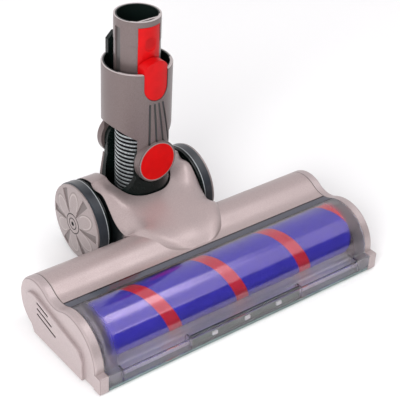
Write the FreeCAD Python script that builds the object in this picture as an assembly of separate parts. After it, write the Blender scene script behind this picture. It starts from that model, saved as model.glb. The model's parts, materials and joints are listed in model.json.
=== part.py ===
import FreeCAD, Part
import math
import os

# Motorised floor brush head of a stick vacuum cleaner, in millimetres.
# +X runs along the roller, -Y is the front (roller) side, +Z is up.
# The origin is on the floor, under the middle of the head's outline.

V = FreeCAD.Vector
X_AXIS = V(1, 0, 0)
Y_AXIS = V(0, 1, 0)
Z_AXIS = V(0, 0, 1)

# Fore and aft layout, from the wheels forward
WHEEL_R = 30.8
AXLE_TO_HUMP = 61.5
HUMP_TO_ROLLER = 42.5
ROLLER_TO_LOBE = 1.5
LOBE_TO_FRONT = 34.7

# Width of the head
FACE_SPAN = 250.0
CAP_WIDTH = 7.5
SEAM = 0.25

# Roller
ROLLER_R = 20.3
ROLLER_FLOOR_GAP = 0.4
PILE = 2.8
CORE_WALL = 1.8
ROLLER_INSET_LEFT = 19.0
ROLLER_INSET_RIGHT = 15.0
STRIPE_PITCH = 59.5
STRIPE_WIDTH = 12.0
STRIPE_PHASE_X = -11.3
ROLLER_TO_COVER = 0.8
ROLLER_TO_CHAMBER = 1.6
CHAMBER_WALL = 2.0
CHAMBER_TOP_DEG = 42.0
MOUTH_TOP_Z = 7.0

# Side outline of the head: roller lobe, saddle and motor hump
SOLE_Z = 0.9
LOBE_DROP = 6.1
HUMP_R = 22.0
SADDLE_R = 19.0
LEDGE_Z = 14.1
SHELL = 2.4
HUMP_SKIRT_DEG = -40.0
WINDOW_EDGE_DEG = -93.0
FLOOR_WALL = 2.2

# Clear cover and what lies in its front ledge
COVER_WALL = 1.7
LEDGE_WALL = 1.6
LEDGE_FOOT_Z = 4.1
RIB_WALL = 1.2
RIB_FROM_FACE = 19.0
RIB_SECOND_SHARE = 0.4
LIP_FOOT_Z = 0.6
LIP_DEPTH = 6.4
LIP_BEVEL = 1.0
LIGHT_PITCH = 29.0
LIGHT_Z = 8.4
LIGHT_WIDTH = 4.2
LIGHT_HEIGHT = 2.6
LIGHT_DEPTH = 1.3
BOARD_WALL = 1.0

# End caps
CAP_WALL = 2.2
CAP_EDGE_R = 2.4
FOOT_EDGE = 0.8
PAD_RISE = 2.5
PAD_EDGE = 1.0
PAD_REAR_R = 12.3
PAD_FRONT_R = 11.0
PAD_FRONT_AHEAD = 6.7
PAD_FRONT_Z = 14.8
VENT_COUNT = 3
VENT_FIRST_LENGTH = 14.3
VENT_LENGTH_STEP = 4.9
VENT_PITCH = 4.75
VENT_HEIGHT = 1.7
VENT_SLOPE_DEG = 11.3
VENT_START_Y = 5.2
VENT_TOP_Z = 31.4

# Bulkheads, motor, belt and bearings
BULKHEAD_WALL = 2.5
BULKHEAD_SETBACK = 2.5
MOTOR_R = 13.5
MOTOR_LENGTH = 62.0
MOTOR_AHEAD = 2.8
MOTOR_RAISE = 1.6
MOTOR_SHAFT_R = 1.6
MOTOR_SHAFT_GRIP = 5.0
MOTOR_EDGE_R = 1.5
MOTOR_TAIL = 3.0
BOARD_TO_CHEEK = 2.0
BOARD_TO_BULKHEAD = 8.2
BOARD_BEHIND = 9.0
BOARD_THICKNESS = 1.6
POST_WIDTH = 3.0
POST_DEPTH = 2.0
MOTOR_PULLEY_R = 5.0
ROLLER_PULLEY_R = 11.0
BELT_THICKNESS = 1.4
BELT_WIDTH = 4.0
DRIVE_SHAFT_R = 4.0
BEARING_WALL = 4.0
DOG_R = 10.0
DOG_GAP = 1.2
DOG_WALL = 3.4
PLUG_WALL = 4.0
STUB_SHAFT_R = 3.0
BEARING_WIDTH = 3.4
RUNNING = 0.06
PLAY = 0.3

# Fairing over the hump: (distance from axle, half width, shoulder, edge, quarter and crown heights)
FAIRING_SECTIONS = [
    (83.6, 9.0, 36.6, 37.4, 38.0, 38.1),
    (79.2, 20.0, 38.4, 40.0, 41.2, 41.6),
    (69.7, 29.5, 42.2, 44.0, 45.4, 46.0),
    (54.7, 36.5, 44.4, 46.8, 48.0, 48.4),
    (39.7, 39.4, 45.6, 48.4, 50.2, 50.6),
    (26.7, 40.0, 53.2, 55.0, 52.8, 52.6),
    (14.7, 40.0, 59.0, 60.2, 55.4, 54.0),
    (0.0, 40.0, 60.4, 61.1, 61.0, 61.0),
]
FAIRING_QUARTER_SHARE = 0.55
FAIRING_EDGE_SHARE = 0.93
CHEEK_OUTER = 40.0
CHEEK_R = 30.3
CHEEK_WALL = 2.6
CHEEK_GAP_INSET = 10.4

# Air duct through the head
DUCT_HALF_WIDTH = 20.0
DUCT_LOW_Z = 6.0
DUCT_HIGH_Z = 27.0
DUCT_WALL = 2.0

# Yoke that tilts on the wheel axis
NECK_R = 25.4
YOKE_WALL = 2.8
YOKE_HALF_WIDTH = 25.2
BAY_GAP = 1.1
YOKE_RIM_Z = 53.0
EAR_HALF_WIDTH = 14.0
EAR_WALL = 4.3
EAR_WAIST_Z = 68.0
EAR_FLARE = 9.0
EAR_FLARE_MID = 2.6
EAR_FLARE_MID_Z = 60.3
PIVOT_Z = 80.0
DECK_Z = 40.0
DECK_WALL = 3.0
DECK_BORE_R = 13.6
YOKE_MOUTH_HALF_WIDTH = 19.0
REAR_COVER_WALL = 1.8

# Pitch bushes, wheel axles and wheels
BUSH_R = 8.0
BUSH_FLANGE_R = 11.0
BUSH_FLANGE_WALL = 1.2
BUSH_FACE_DEPTH = 2.0
AXLE_R = 3.0
AXLE_HEAD_R = 5.0
WHEEL_INNER_X = 42.4
WHEEL_OUTER_X = 53.6
TYRE_DEPTH = 3.3
TYRE_EDGE_R = 1.0
HUB_R = 30.0
HUB_FLANGE = 1.5
HUB_BARREL_WALL = 2.4
HUB_BOSS_R = 7.5
HUB_BOSS_LENGTH = 7.6
HUBCAP_SKIRT = 2.4
AXLE_HEAD_WALL = 1.5
AXLE_GRIP = 16.0
CAP_DOME = 3.0
CAP_SKIN = 1.6
PETALS = 6
PETAL_GROOVE = 0.7
PETAL_FOOT_R = 9.0
PETAL_TIP_R = 27.5
PETAL_GAP_FOOT = 0.5
PETAL_GAP_TIP = 3.4
HUBCAP_RINGS = (4.5, 8.0)
HUBCAP_RING_WIDTH = 0.5
HUBCAP_HOLE_R = 1.3

# Collar that rolls on the yoke, and the wand spigot in it
COLLAR_R = 25.9
COLLAR_WALL = 2.3
COLLAR_TOP_Z = 151.6
ARM_HALF_GAP = 21.7
ARM_TOP_Z = 99.2
ARCH_TOP_Z = 107.4
LOBE_RIM = 1.1
LOBE_EDGE_R = 0.5
COLLAR_EDGE_R = 0.8
PIVOT_CAP_R = 15.5
PIVOT_CAP_WALL = 1.7
PIVOT_CAP_DOME = 0.6
PIVOT_LIP_Y = 27.3
PIN_R = 5.0
SPIGOT_R = 17.03
SPIGOT_WALL = 2.2
SPIGOT_TOP_Z = 187.7
SEAT_LENGTH = 18.2
SHANK_RELIEF = 0.2
SPIGOT_FOOT_Z = 104.0
FLANGE_Z = 111.5
FLANGE_WALL = 2.5
KEYWAY_WIDTH = 6.0
KEYWAY_DEPTH = 1.3
KEYWAY_TOP_Z = 181.5
CHORD_OFFSET = 9.3
CHORD_WALL = 1.5
POCKET_FOOT_Z = 146.0
FLUTE_COUNT = 4
FLUTE_R = 1.1
FLUTE_TOP_Z = 127.0
FLUTE_FOOT_Z = 92.0
FLUTE_FIRST_X = -5.8
FLUTE_TOP_PITCH = 3.7
FLUTE_FOOT_PITCH = 6.4
COLLAR_LEDGE_WALL = 2.5
COLLAR_LEDGE_R = 20.0
LOBE_CLEARANCE = 1.6

# Release button
BUTTON_HALF_WIDTH = 9.2
BUTTON_TOP_Z = 183.3
BUTTON_FOOT_Z = 130.0
PAD_HALF_WIDTH = 9.9
PAD_TOP_Z = 160.5
PAD_SHOULDER_Z = 155.0
PAD_OUTER_R = 25.3
BUTTON_SKIN = 1.4
CATCH_Z = 170.0
CATCH_R = 5.2
CATCH_DEPTH = 0.6
BUTTON_PIN_R = 0.9
BUTTON_PIN_Z = 134.5
BUTTON_PIN_AHEAD = 1.65
BUTTON_LUG_X = 3.2
PAD_BACK_GAP = 1.0
LUG_WIDTH = 2.2
LUG_HEIGHT = 4.0
LUG_SINK = 1.5
SPRING_HALF_WIDTH = 2.5
SPRING_WALL = 0.5
SPRING_FOOT_Z = 138.5
SPRING_TOP_Z = 149.5
SPRING_FLAT = 2.5

# Electrical connector behind the spigot
PLUG_HALF_WIDTH = 13.0
PLUG_FRONT = 17.4
PLUG_DEPTH = 3.6
PLUG_TOP_Z = 168.5
PLUG_CHAMFER = 5.0
PLUG_WING_HEIGHT = 16.5
PLUG_FOOT_HALF_WIDTH = 10.0
CONTACT_WIDTH = 2.4
CONTACT_WALL = 0.8
CONTACT_X = 5.0
CONTACT_DEPTH = 8.0

# Ribbed hose
HOSE_R = 16.0
HOSE_RIB_DEPTH = 1.9
HOSE_BORE_R = 12.9
HOSE_RIBS = 14
HOSE_RIB_SLOPE = 0.3
CUFF_HEIGHT = 4.0
CUFF_WALL = 2.4

# Sole rollers, strip and screws
SOLE_ROLLER_R = 5.5
SOLE_ROLLER_WIDTH = 9.0
SOLE_ROLLER_SHARE = 0.6
SOLE_ROLLER_FROM_AXLE = 73.7
SOLE_PIN_R = 1.5
SOLE_WELL_GAP = 0.8
SOLE_PIN_SEAT = 2.5
STRIP_WIDTH = 3.5
STRIP_DEPTH = 0.7
STRIP_INSET = 4.0
SCREW_R = 2.8
SCREW_HEAD_WALL = 1.2
SCREW_SHANK_R = 1.3
SCREW_LENGTH = 6.0
SCREW_X = 33.0
SCREW_AHEAD = 20.0
SCREW_BEHIND = 14.0
SCREW_POST_R = 3.6

# Places worked out from the sizes above
LOBE_R = math.hypot(ROLLER_TO_LOBE, LOBE_DROP) + ROLLER_R + ROLLER_TO_COVER + COVER_WALL
HEAD_DEPTH = WHEEL_R + AXLE_TO_HUMP + HUMP_TO_ROLLER + ROLLER_TO_LOBE + LOBE_TO_FRONT
FRONT_Y = -HEAD_DEPTH / 2
AXLE_Y = HEAD_DEPTH / 2 - WHEEL_R
AXLE_Z = WHEEL_R
FAIRING_BOTTOM_Z = SOLE_Z + FLOOR_WALL
HUMP_Y = AXLE_Y - AXLE_TO_HUMP
HUMP_Z = SOLE_Z + HUMP_R
ROLLER_Y = HUMP_Y - HUMP_TO_ROLLER
ROLLER_Z = ROLLER_R + ROLLER_FLOOR_GAP
LOBE_Y = ROLLER_Y - ROLLER_TO_LOBE
LOBE_Z = ROLLER_Z - LOBE_DROP
FACE_X = FACE_SPAN / 2
CAP_INNER_X = FACE_X - CAP_WIDTH
SHELL_X = CAP_INNER_X - SEAM
ROLLER_X0 = -FACE_X + ROLLER_INSET_LEFT
ROLLER_X1 = FACE_X - ROLLER_INSET_RIGHT
CORE_R = ROLLER_R - PILE
CHAMBER_R = ROLLER_R + ROLLER_TO_CHAMBER
BULKHEAD_X1 = SHELL_X - BULKHEAD_SETBACK
BULKHEAD_X0 = BULKHEAD_X1 - BULKHEAD_WALL
RIB_FIRST = FACE_X - RIB_FROM_FACE
RIB_SECOND = FACE_X * RIB_SECOND_SHARE
SOLE_ROLLER_X = FACE_X * SOLE_ROLLER_SHARE
BOARD_X0 = CHEEK_OUTER + BOARD_TO_CHEEK
BOARD_X1 = BULKHEAD_X0 - BOARD_TO_BULKHEAD
MOTOR_Y = HUMP_Y + MOTOR_AHEAD
MOTOR_Z = HUMP_Z + MOTOR_RAISE
BAY_HALF_WIDTH = YOKE_HALF_WIDTH + BAY_GAP
BAY_R = NECK_R + BAY_GAP
SPIGOT_BORE_R = SPIGOT_R - SPIGOT_WALL
SHANK_R = SPIGOT_R - SHANK_RELIEF
SEAT_FOOT_Z = SPIGOT_TOP_Z - SEAT_LENGTH
PLUG_WING_Z = PLUG_TOP_Z - PLUG_WING_HEIGHT
HOSE_FOOT_Z = DECK_Z + DECK_WALL + CUFF_HEIGHT
HOSE_TOP_Z = SPIGOT_FOOT_Z - CUFF_HEIGHT
COLLAR_BORE_R = COLLAR_R - COLLAR_WALL
LOBE_OUTER_R = PIVOT_CAP_R + LOBE_RIM
PIN_HEAD_Y = PIVOT_LIP_Y + PIVOT_CAP_WALL
ARM_INNER = AXLE_Y - ARM_HALF_GAP
EAR_OUTER = ARM_INNER + PLAY
EAR_INNER = EAR_OUTER + EAR_WALL


def rod(axis, radius, start, length):
    return Part.makeCylinder(radius, length, start, axis)


def ring(axis, outer, inner, start, length):
    return rod(axis, outer, start, length).cut(rod(axis, inner, start, length))


def block(x0, x1, y0, y1, z0, z1):
    return Part.makeBox(x1 - x0, y1 - y0, z1 - z0, V(x0, y0, z0))


def mirrored_x(shape):
    return shape.mirror(V(0, 0, 0), X_AXIS)


def mirrored_neck(shape):
    # Front pieces of the neck repeat at the back, across the neck's own middle.
    return shape.mirror(V(0, AXLE_Y, 0), Y_AXIS)


def yz(y, z, x=0.0):
    return V(x, y, z)


def on_circle(centre, radius, angle):
    return (centre[0] + radius * math.cos(angle), centre[1] + radius * math.sin(angle))


def arc(centre, radius, start, end, x=0.0):
    # Arc in the YZ plane; angles run from +Y towards +Z.
    points = [yz(*on_circle(centre, radius, a), x) for a in (start, (start + end) / 2, end)]
    return Part.Arc(*points).toShape()


def line(first, second):
    return Part.makeLine(first, second)


def prism(edges, travel):
    wire = Part.Wire(Part.__sortEdges__(edges))
    return Part.Face(wire).extrude(travel)


def polygon(points):
    return Part.makePolygon(points + [points[0]]).Edges


HUMP = (HUMP_Y, HUMP_Z)
LOBE = (LOBE_Y, LOBE_Z)


def saddle_centre():
    # The saddle's circle touches the hump and the lobe from above.
    to_hump = HUMP_R + SADDLE_R
    to_lobe = LOBE_R + SADDLE_R
    dy = LOBE_Y - HUMP_Y
    dz = LOBE_Z - HUMP_Z
    span = math.hypot(dy, dz)
    along = (to_hump ** 2 - to_lobe ** 2 + span ** 2) / (2 * span)
    across = math.sqrt(to_hump ** 2 - along ** 2)
    return (
        HUMP_Y + (along * dy + across * dz) / span,
        HUMP_Z + (along * dz - across * dy) / span,
    )


SADDLE = saddle_centre()
HUMP_TOUCH = math.atan2(SADDLE[1] - HUMP_Z, SADDLE[0] - HUMP_Y)
LOBE_TOUCH = math.atan2(SADDLE[1] - LOBE_Z, SADDLE[0] - LOBE_Y)
SADDLE_BACK = HUMP_TOUCH - math.pi
SADDLE_FRONT = LOBE_TOUCH - math.pi
WINDOW_EDGE = math.radians(WINDOW_EDGE_DEG)
HUMP_SKIRT = math.radians(HUMP_SKIRT_DEG)
HUMP_BOTTOM = -math.pi / 2


def lobe_front(inset, height):
    # Angle on the lobe's front where it meets a given height.
    return math.pi - math.asin((height - LOBE_Z) / (LOBE_R - inset))


def head_edges(inset, x, ledge):
    # Closed side outline of the head, moved inward by inset.
    front = lobe_front(inset, LEDGE_Z if ledge else LOBE_Z)
    front_point = yz(*on_circle(LOBE, LOBE_R - inset, front), x)
    floor_z = SOLE_Z + inset
    bottom = yz(HUMP_Y, floor_z, x)
    edges = [
        arc(LOBE, LOBE_R - inset, front, LOBE_TOUCH, x),
        arc(SADDLE, SADDLE_R + inset, SADDLE_FRONT, SADDLE_BACK, x),
        arc(HUMP, HUMP_R - inset, HUMP_TOUCH, HUMP_BOTTOM, x),
    ]
    if ledge:
        corner = yz(FRONT_Y, LEDGE_Z, x)
        foot = yz(FRONT_Y, floor_z, x)
        edges += [line(front_point, corner), line(corner, foot), line(foot, bottom)]
    else:
        foot = yz(front_point.y, floor_z, x)
        edges += [line(front_point, foot), line(foot, bottom)]
    return edges


def head_prism(inset, x0, x1, ledge=False):
    return prism(head_edges(inset, x0, ledge), V(x1 - x0, 0, 0))


def hump_skin(x0, x1):
    # Curved strip from the window's edge over the hump and down its back.
    outer_start = yz(*on_circle(SADDLE, SADDLE_R, WINDOW_EDGE), x0)
    inner_start = yz(*on_circle(SADDLE, SADDLE_R + SHELL, WINDOW_EDGE), x0)
    outer_end = yz(*on_circle(HUMP, HUMP_R, HUMP_SKIRT), x0)
    inner_end = yz(*on_circle(HUMP, HUMP_R - SHELL, HUMP_SKIRT), x0)
    edges = [
        arc(SADDLE, SADDLE_R, WINDOW_EDGE, SADDLE_BACK, x0),
        arc(HUMP, HUMP_R, HUMP_TOUCH, HUMP_SKIRT, x0),
        line(outer_end, inner_end),
        arc(HUMP, HUMP_R - SHELL, HUMP_SKIRT, HUMP_TOUCH, x0),
        arc(SADDLE, SADDLE_R + SHELL, SADDLE_BACK, WINDOW_EDGE, x0),
        line(inner_start, outer_start),
    ]
    return prism(edges, V(x1 - x0, 0, 0))


def fairing_section(section):
    # Cross-section of the fairing, square to the head's fore and aft axis.
    back, half, shoulder, edge, quarter, crown = section
    y = AXLE_Y - back
    right = [(half * FAIRING_QUARTER_SHARE, quarter), (half * FAIRING_EDGE_SHARE, edge), (half, shoulder)]
    left = [(-x, z) for x, z in reversed(right)]
    top = Part.BSplineCurve()
    top.interpolate([V(x, y, z) for x, z in left + [(0.0, crown)] + right])
    low_left = V(-half, y, FAIRING_BOTTOM_Z)
    low_right = V(half, y, FAIRING_BOTTOM_Z)
    return Part.Wire([
        top.toShape(),
        line(V(half, y, shoulder), low_right),
        line(low_right, low_left),
        line(low_left, V(-half, y, shoulder)),
    ])


def yoke_bay():
    # Free space for the yoke: round in front, open to the rear.
    top = 2 * PIVOT_Z
    bay = rod(Z_AXIS, BAY_R, V(0, AXLE_Y, AXLE_Z), top)
    bay = bay.fuse(rod(X_AXIS, NECK_R + PLAY * 2, V(-BAY_HALF_WIDTH, AXLE_Y, AXLE_Z), 2 * BAY_HALF_WIDTH))
    rear = block(-BAY_HALF_WIDTH, BAY_HALF_WIDTH, AXLE_Y, AXLE_Y + 2 * WHEEL_R, FAIRING_BOTTOM_Z, top)
    return bay.fuse(rear)


def cheek_pocket():
    # Hollow round the bush boss in the +X cheek, open below, with posts left for the screws.
    x0 = BAY_HALF_WIDTH + CHEEK_WALL
    wide = CHEEK_OUTER - CHEEK_WALL - x0
    hollow = ring(X_AXIS, CHEEK_R - CHEEK_WALL, BUSH_R + CHEEK_WALL, V(x0, AXLE_Y, AXLE_Z), wide)
    half = CHEEK_R - CHEEK_GAP_INSET
    under_boss = AXLE_Z - BUSH_R - CHEEK_WALL
    floor_gap = block(x0, x0 + wide, AXLE_Y - half, AXLE_Y + half, FAIRING_BOTTOM_Z, under_boss)
    hollow = hollow.fuse(floor_gap)
    for place in screw_places():
        hollow = hollow.cut(rod(Z_AXIS, SCREW_POST_R, place, 2 * AXLE_Z))
    return hollow


def upper_housing():
    skin = hump_skin(-SHELL_X, SHELL_X)
    fairing = Part.makeLoft([fairing_section(s) for s in FAIRING_SECTIONS], True)
    cheeks = rod(X_AXIS, CHEEK_R, V(-CHEEK_OUTER, AXLE_Y, AXLE_Z), 2 * CHEEK_OUTER)
    behind = block(-CHEEK_OUTER, CHEEK_OUTER, AXLE_Y, AXLE_Y + CHEEK_R, FAIRING_BOTTOM_Z, 2 * AXLE_Z)
    inside = head_prism(SHELL, -SHELL_X, SHELL_X)
    duct = block(-DUCT_HALF_WIDTH, DUCT_HALF_WIDTH, HUMP_Y, AXLE_Y, DUCT_LOW_Z, DUCT_HIGH_Z)
    under_nose = block(-CHEEK_OUTER, CHEEK_OUTER, FRONT_Y, HUMP_Y, 0, HUMP_Z)
    body = skin.fuse(fairing.cut(inside).cut(under_nose)).fuse(cheeks.common(behind))
    pocket = cheek_pocket()
    body = body.cut(yoke_bay()).cut(duct).cut([pocket, mirrored_x(pocket)])
    bore = drum(BUSH_R + RUNNING, CHEEK_OUTER)
    face = rod(X_AXIS, BUSH_FLANGE_R + PLAY, V(CHEEK_OUTER, AXLE_Y, AXLE_Z), BUSH_FACE_DEPTH)
    return body.cut([bore, face, mirrored_x(face), screw_holes()]).removeSplitter()


def mouth_y():
    # Where the chamber's inner surface reaches the top of the suction mouth.
    return ROLLER_Y + math.sqrt(CHAMBER_R ** 2 - (ROLLER_Z - MOUTH_TOP_Z) ** 2)


def chamber_wall():
    # Trough behind the roller, from under the window's edge to the suction mouth.
    start = V(-BULKHEAD_X0, ROLLER_Y, ROLLER_Z)
    tube = ring(X_AXIS, CHAMBER_R + CHAMBER_WALL, CHAMBER_R, start, 2 * BULKHEAD_X0)
    top_z = ROLLER_Z + CHAMBER_R * math.sin(math.radians(CHAMBER_TOP_DEG))
    trough = tube.common(block(-BULKHEAD_X0, BULKHEAD_X0, ROLLER_Y, HUMP_Y, MOUTH_TOP_Z, top_z))
    lower = block(-BULKHEAD_X0, BULKHEAD_X0, mouth_y(), mouth_y() + CHAMBER_WALL, SOLE_Z, MOUTH_TOP_Z)
    return trough.fuse(lower)


def floor_plate():
    inner = head_prism(FLOOR_WALL, -BULKHEAD_X1, BULKHEAD_X1)
    outer = head_prism(0.0, -BULKHEAD_X1, BULKHEAD_X1)
    skirt_z = on_circle(HUMP, HUMP_R, HUMP_SKIRT)[1] - SEAM
    tray = outer.cut(inner).common(block(-BULKHEAD_X1, BULKHEAD_X1, mouth_y(), AXLE_Y, SOLE_Z, skirt_z))
    under_fairing = CHEEK_OUTER + SEAM
    tray = tray.cut(block(-under_fairing, under_fairing, HUMP_Y, AXLE_Y, SOLE_Z + FLOOR_WALL, 2 * HUMP_Z))
    tail = block(-CHEEK_OUTER, CHEEK_OUTER, HUMP_Y, AXLE_Y + NECK_R, SOLE_Z, SOLE_Z + FLOOR_WALL)
    return tray.fuse(tail)


def bulkhead():
    # End wall of the head on the +X side; it fills the outline under the skins.
    inset = max(SHELL, COVER_WALL) + PLAY
    wall = head_prism(inset, BULKHEAD_X0, BULKHEAD_X1)
    reach = HUMP_R / 2
    floor_edge = block(BULKHEAD_X0, BULKHEAD_X1, HUMP_Y - reach, HUMP_Y + reach, SOLE_Z, SOLE_Z + inset)
    return wall.fuse(floor_edge)


def lower_chassis():
    right_wall = bulkhead()
    left_wall = mirrored_x(right_wall)
    roller_way = rod(X_AXIS, CHAMBER_R, V(BULKHEAD_X0, ROLLER_Y, ROLLER_Z), BULKHEAD_WALL)
    roller_way = roller_way.fuse(block(BULKHEAD_X0, BULKHEAD_X1, FRONT_Y, ROLLER_Y, SOLE_Z, 2 * HUMP_Z))
    seat_r = DRIVE_SHAFT_R + RUNNING + BEARING_WALL
    bearing_seat = rod(X_AXIS, seat_r, V(-BULKHEAD_X1, ROLLER_Y, ROLLER_Z), BULKHEAD_WALL)
    shaft_way = rod(X_AXIS, MOTOR_SHAFT_R * 2, V(-BULKHEAD_X1, MOTOR_Y, MOTOR_Z), BULKHEAD_WALL)
    walls = [chamber_wall(), right_wall.cut(roller_way), left_wall.cut(bearing_seat).cut(shaft_way)]
    body = floor_plate().fuse(walls + [duct_tube(), sole_brackets(), board_posts()])
    lid_notch = above_duct(DUCT_HALF_WIDTH + DUCT_WALL + PLAY)
    body = body.cut(duct_air()).cut(lid_notch).cut(sole_wells()).cut(screw_holes())
    return body.removeSplitter()


def duct_lid():
    # Roof of the duct, with the piece of the roller's trough that stands over its mouth.
    upper = chamber_wall().fuse(duct_tube()).common(above_duct(DUCT_HALF_WIDTH + DUCT_WALL))
    return upper.removeSplitter()


def above_duct(half):
    return block(-half, half, FRONT_Y, AXLE_Y, DUCT_HIGH_Z, 2 * HUMP_Z)


def duct_air():
    return block(-DUCT_HALF_WIDTH, DUCT_HALF_WIDTH, ROLLER_Y, HUMP_Y + HUMP_R, DUCT_LOW_Z, DUCT_HIGH_Z)


def duct_tube():
    # Box tube from the chamber to the housing behind the hump.
    wide = DUCT_HALF_WIDTH + DUCT_WALL
    tube = block(-wide, wide, ROLLER_Y, HUMP_Y + HUMP_R, DUCT_LOW_Z - DUCT_WALL, DUCT_HIGH_Z + DUCT_WALL)
    chamber = rod(X_AXIS, CHAMBER_R, V(-wide, ROLLER_Y, ROLLER_Z), 2 * wide)
    within = head_prism(SHELL + PLAY, -wide, wide)
    legs = block(-wide, wide, HUMP_Y - HUMP_R / 2, HUMP_Y, SOLE_Z, DUCT_LOW_Z)
    return tube.cut(chamber).common(within).fuse(legs)


def sole_roller_y():
    return AXLE_Y - SOLE_ROLLER_FROM_AXLE


def sole_brackets():
    # Bosses over the sole that carry the small rollers' pins.
    side = SOLE_ROLLER_R + SOLE_WELL_GAP
    half = SOLE_ROLLER_WIDTH / 2 + SOLE_WELL_GAP + SOLE_PIN_SEAT
    y = sole_roller_y()
    top = 2 * SOLE_ROLLER_R + SOLE_WELL_GAP
    right = block(SOLE_ROLLER_X - half, SOLE_ROLLER_X + half, y - side, y + side, SOLE_Z, top)
    return right.fuse(mirrored_x(right))


def sole_wells():
    # Wells for the small rollers, with the seats of their pins.
    side = SOLE_ROLLER_R + SOLE_WELL_GAP / 2
    half = SOLE_ROLLER_WIDTH / 2 + SOLE_WELL_GAP
    seat = half + SOLE_PIN_SEAT
    y = sole_roller_y()
    wells = []
    for x in (-SOLE_ROLLER_X, SOLE_ROLLER_X):
        wells.append(block(x - half, x + half, y - side, y + side, 0, 2 * SOLE_ROLLER_R + SOLE_WELL_GAP / 2))
        wells.append(rod(X_AXIS, SOLE_PIN_R + RUNNING, V(x - seat, y, SOLE_ROLLER_R), 2 * seat))
    return wells[0].fuse(wells[1:])


def sole_roller(x):
    start = V(x - SOLE_ROLLER_WIDTH / 2, sole_roller_y(), SOLE_ROLLER_R)
    return ring(X_AXIS, SOLE_ROLLER_R, SOLE_PIN_R + RUNNING, start, SOLE_ROLLER_WIDTH)


def left_sole_roller():
    return sole_roller(-SOLE_ROLLER_X)


def right_sole_roller():
    return sole_roller(SOLE_ROLLER_X)


def sole_roller_pins():
    half = SOLE_ROLLER_WIDTH / 2 + SOLE_WELL_GAP + SOLE_PIN_SEAT - PLAY
    y = sole_roller_y()
    right = rod(X_AXIS, SOLE_PIN_R, V(SOLE_ROLLER_X - half, y, SOLE_ROLLER_R), 2 * half)
    return Part.makeCompound([right, mirrored_x(right)])


def screw_places():
    ahead = AXLE_Y - SCREW_AHEAD
    behind = AXLE_Y + SCREW_BEHIND
    return [V(x, y, 0) for x in (-SCREW_X, SCREW_X) for y in (ahead, behind)]


def screw_holes():
    head_z = SOLE_Z + SCREW_HEAD_WALL
    holes = []
    for place in screw_places():
        holes.append(rod(Z_AXIS, SCREW_R + PLAY, place, head_z))
        holes.append(rod(Z_AXIS, SCREW_SHANK_R + RUNNING, place, head_z + SCREW_LENGTH + PLAY))
    return holes[0].fuse(holes[1:])


def sole_screws():
    screws = []
    for place in screw_places():
        head = rod(Z_AXIS, SCREW_R, place + V(0, 0, SOLE_Z), SCREW_HEAD_WALL)
        shank = rod(Z_AXIS, SCREW_SHANK_R, place + V(0, 0, SOLE_Z), SCREW_HEAD_WALL + SCREW_LENGTH)
        screws.append(head.fuse(shank))
    return Part.makeCompound(screws)


def sole_strip():
    # Soft pile strip on the sole, just behind the suction mouth.
    half = BULKHEAD_X0 - STRIP_INSET
    return block(-half, half, mouth_y(), mouth_y() + STRIP_WIDTH, SOLE_Z - STRIP_DEPTH, SOLE_Z)


def board_y():
    return HUMP_Y + BOARD_BEHIND


def board_posts():
    post_y = board_y() - POST_DEPTH
    low = HUMP_Z - math.sqrt((HUMP_R - FLOOR_WALL / 2) ** 2 - BOARD_BEHIND ** 2)
    inner = block(BOARD_X0, BOARD_X0 + POST_WIDTH, post_y, board_y(), low, HUMP_Z)
    outer = block(BOARD_X1 - POST_WIDTH, BOARD_X1, post_y, board_y(), low, HUMP_Z)
    return inner.fuse(outer)


def control_board():
    reach = math.sqrt((HUMP_R - SHELL) ** 2 - (BOARD_BEHIND + BOARD_THICKNESS) ** 2) - PLAY * 2
    plate = block(BOARD_X0, BOARD_X1, board_y(), board_y() + BOARD_THICKNESS, HUMP_Z - reach, HUMP_Z + reach)
    chip_half = reach / 3
    mid = (BOARD_X0 + BOARD_X1) / 2
    under = board_y() - POST_DEPTH
    chip = block(mid - chip_half, mid + chip_half, under, board_y(), HUMP_Z, HUMP_Z + chip_half)
    return plate.fuse(chip)


def rounded(shape, radius, pick):
    # Rounds the edges of the shape that pick says yes to.
    return shape.makeFillet(radius, [edge for edge in shape.Edges if pick(edge)])


def at_x(edge, x):
    return all(abs(v.X - x) < 1e-4 for v in edge.Vertexes)


def tangent_angle(first, first_r, second, second_r):
    # Direction of the shared normal of the upper outside tangent of two circles.
    dy = first[0] - second[0]
    dz = first[1] - second[1]
    return math.atan2(dz, dy) + math.acos((second_r - first_r) / math.hypot(dy, dz))


def belt_outline(grow, x):
    motor = (MOTOR_Y, MOTOR_Z)
    roller = (ROLLER_Y, ROLLER_Z)
    small = MOTOR_PULLEY_R + grow
    large = ROLLER_PULLEY_R + grow
    upper = tangent_angle(motor, small, roller, large)
    axis = math.atan2(motor[1] - roller[1], motor[0] - roller[0])
    lower = 2 * axis - upper
    ends = [yz(*on_circle(c, r, a), x) for c, r, a in (
        (motor, small, lower), (motor, small, upper), (roller, large, upper), (roller, large, lower))]
    return [
        arc(motor, small, lower, upper, x),
        line(ends[1], ends[2]),
        arc(roller, large, upper, lower + 2 * math.pi, x),
        line(ends[3], ends[0]),
    ]


def belt_x():
    # Middle of the belt, between the left bulkhead and the end cap's wall.
    return -(BULKHEAD_X1 + FACE_X - CAP_WALL) / 2


def drive_belt():
    x = belt_x() - BELT_WIDTH / 2
    outer = prism(belt_outline(RUNNING + BELT_THICKNESS, x), V(BELT_WIDTH, 0, 0))
    return outer.cut(prism(belt_outline(RUNNING, x), V(BELT_WIDTH, 0, 0)))


def pulley(radius, y, z):
    wide = BELT_WIDTH + PLAY
    return rod(X_AXIS, radius, V(belt_x() - wide / 2, y, z), wide)


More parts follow.
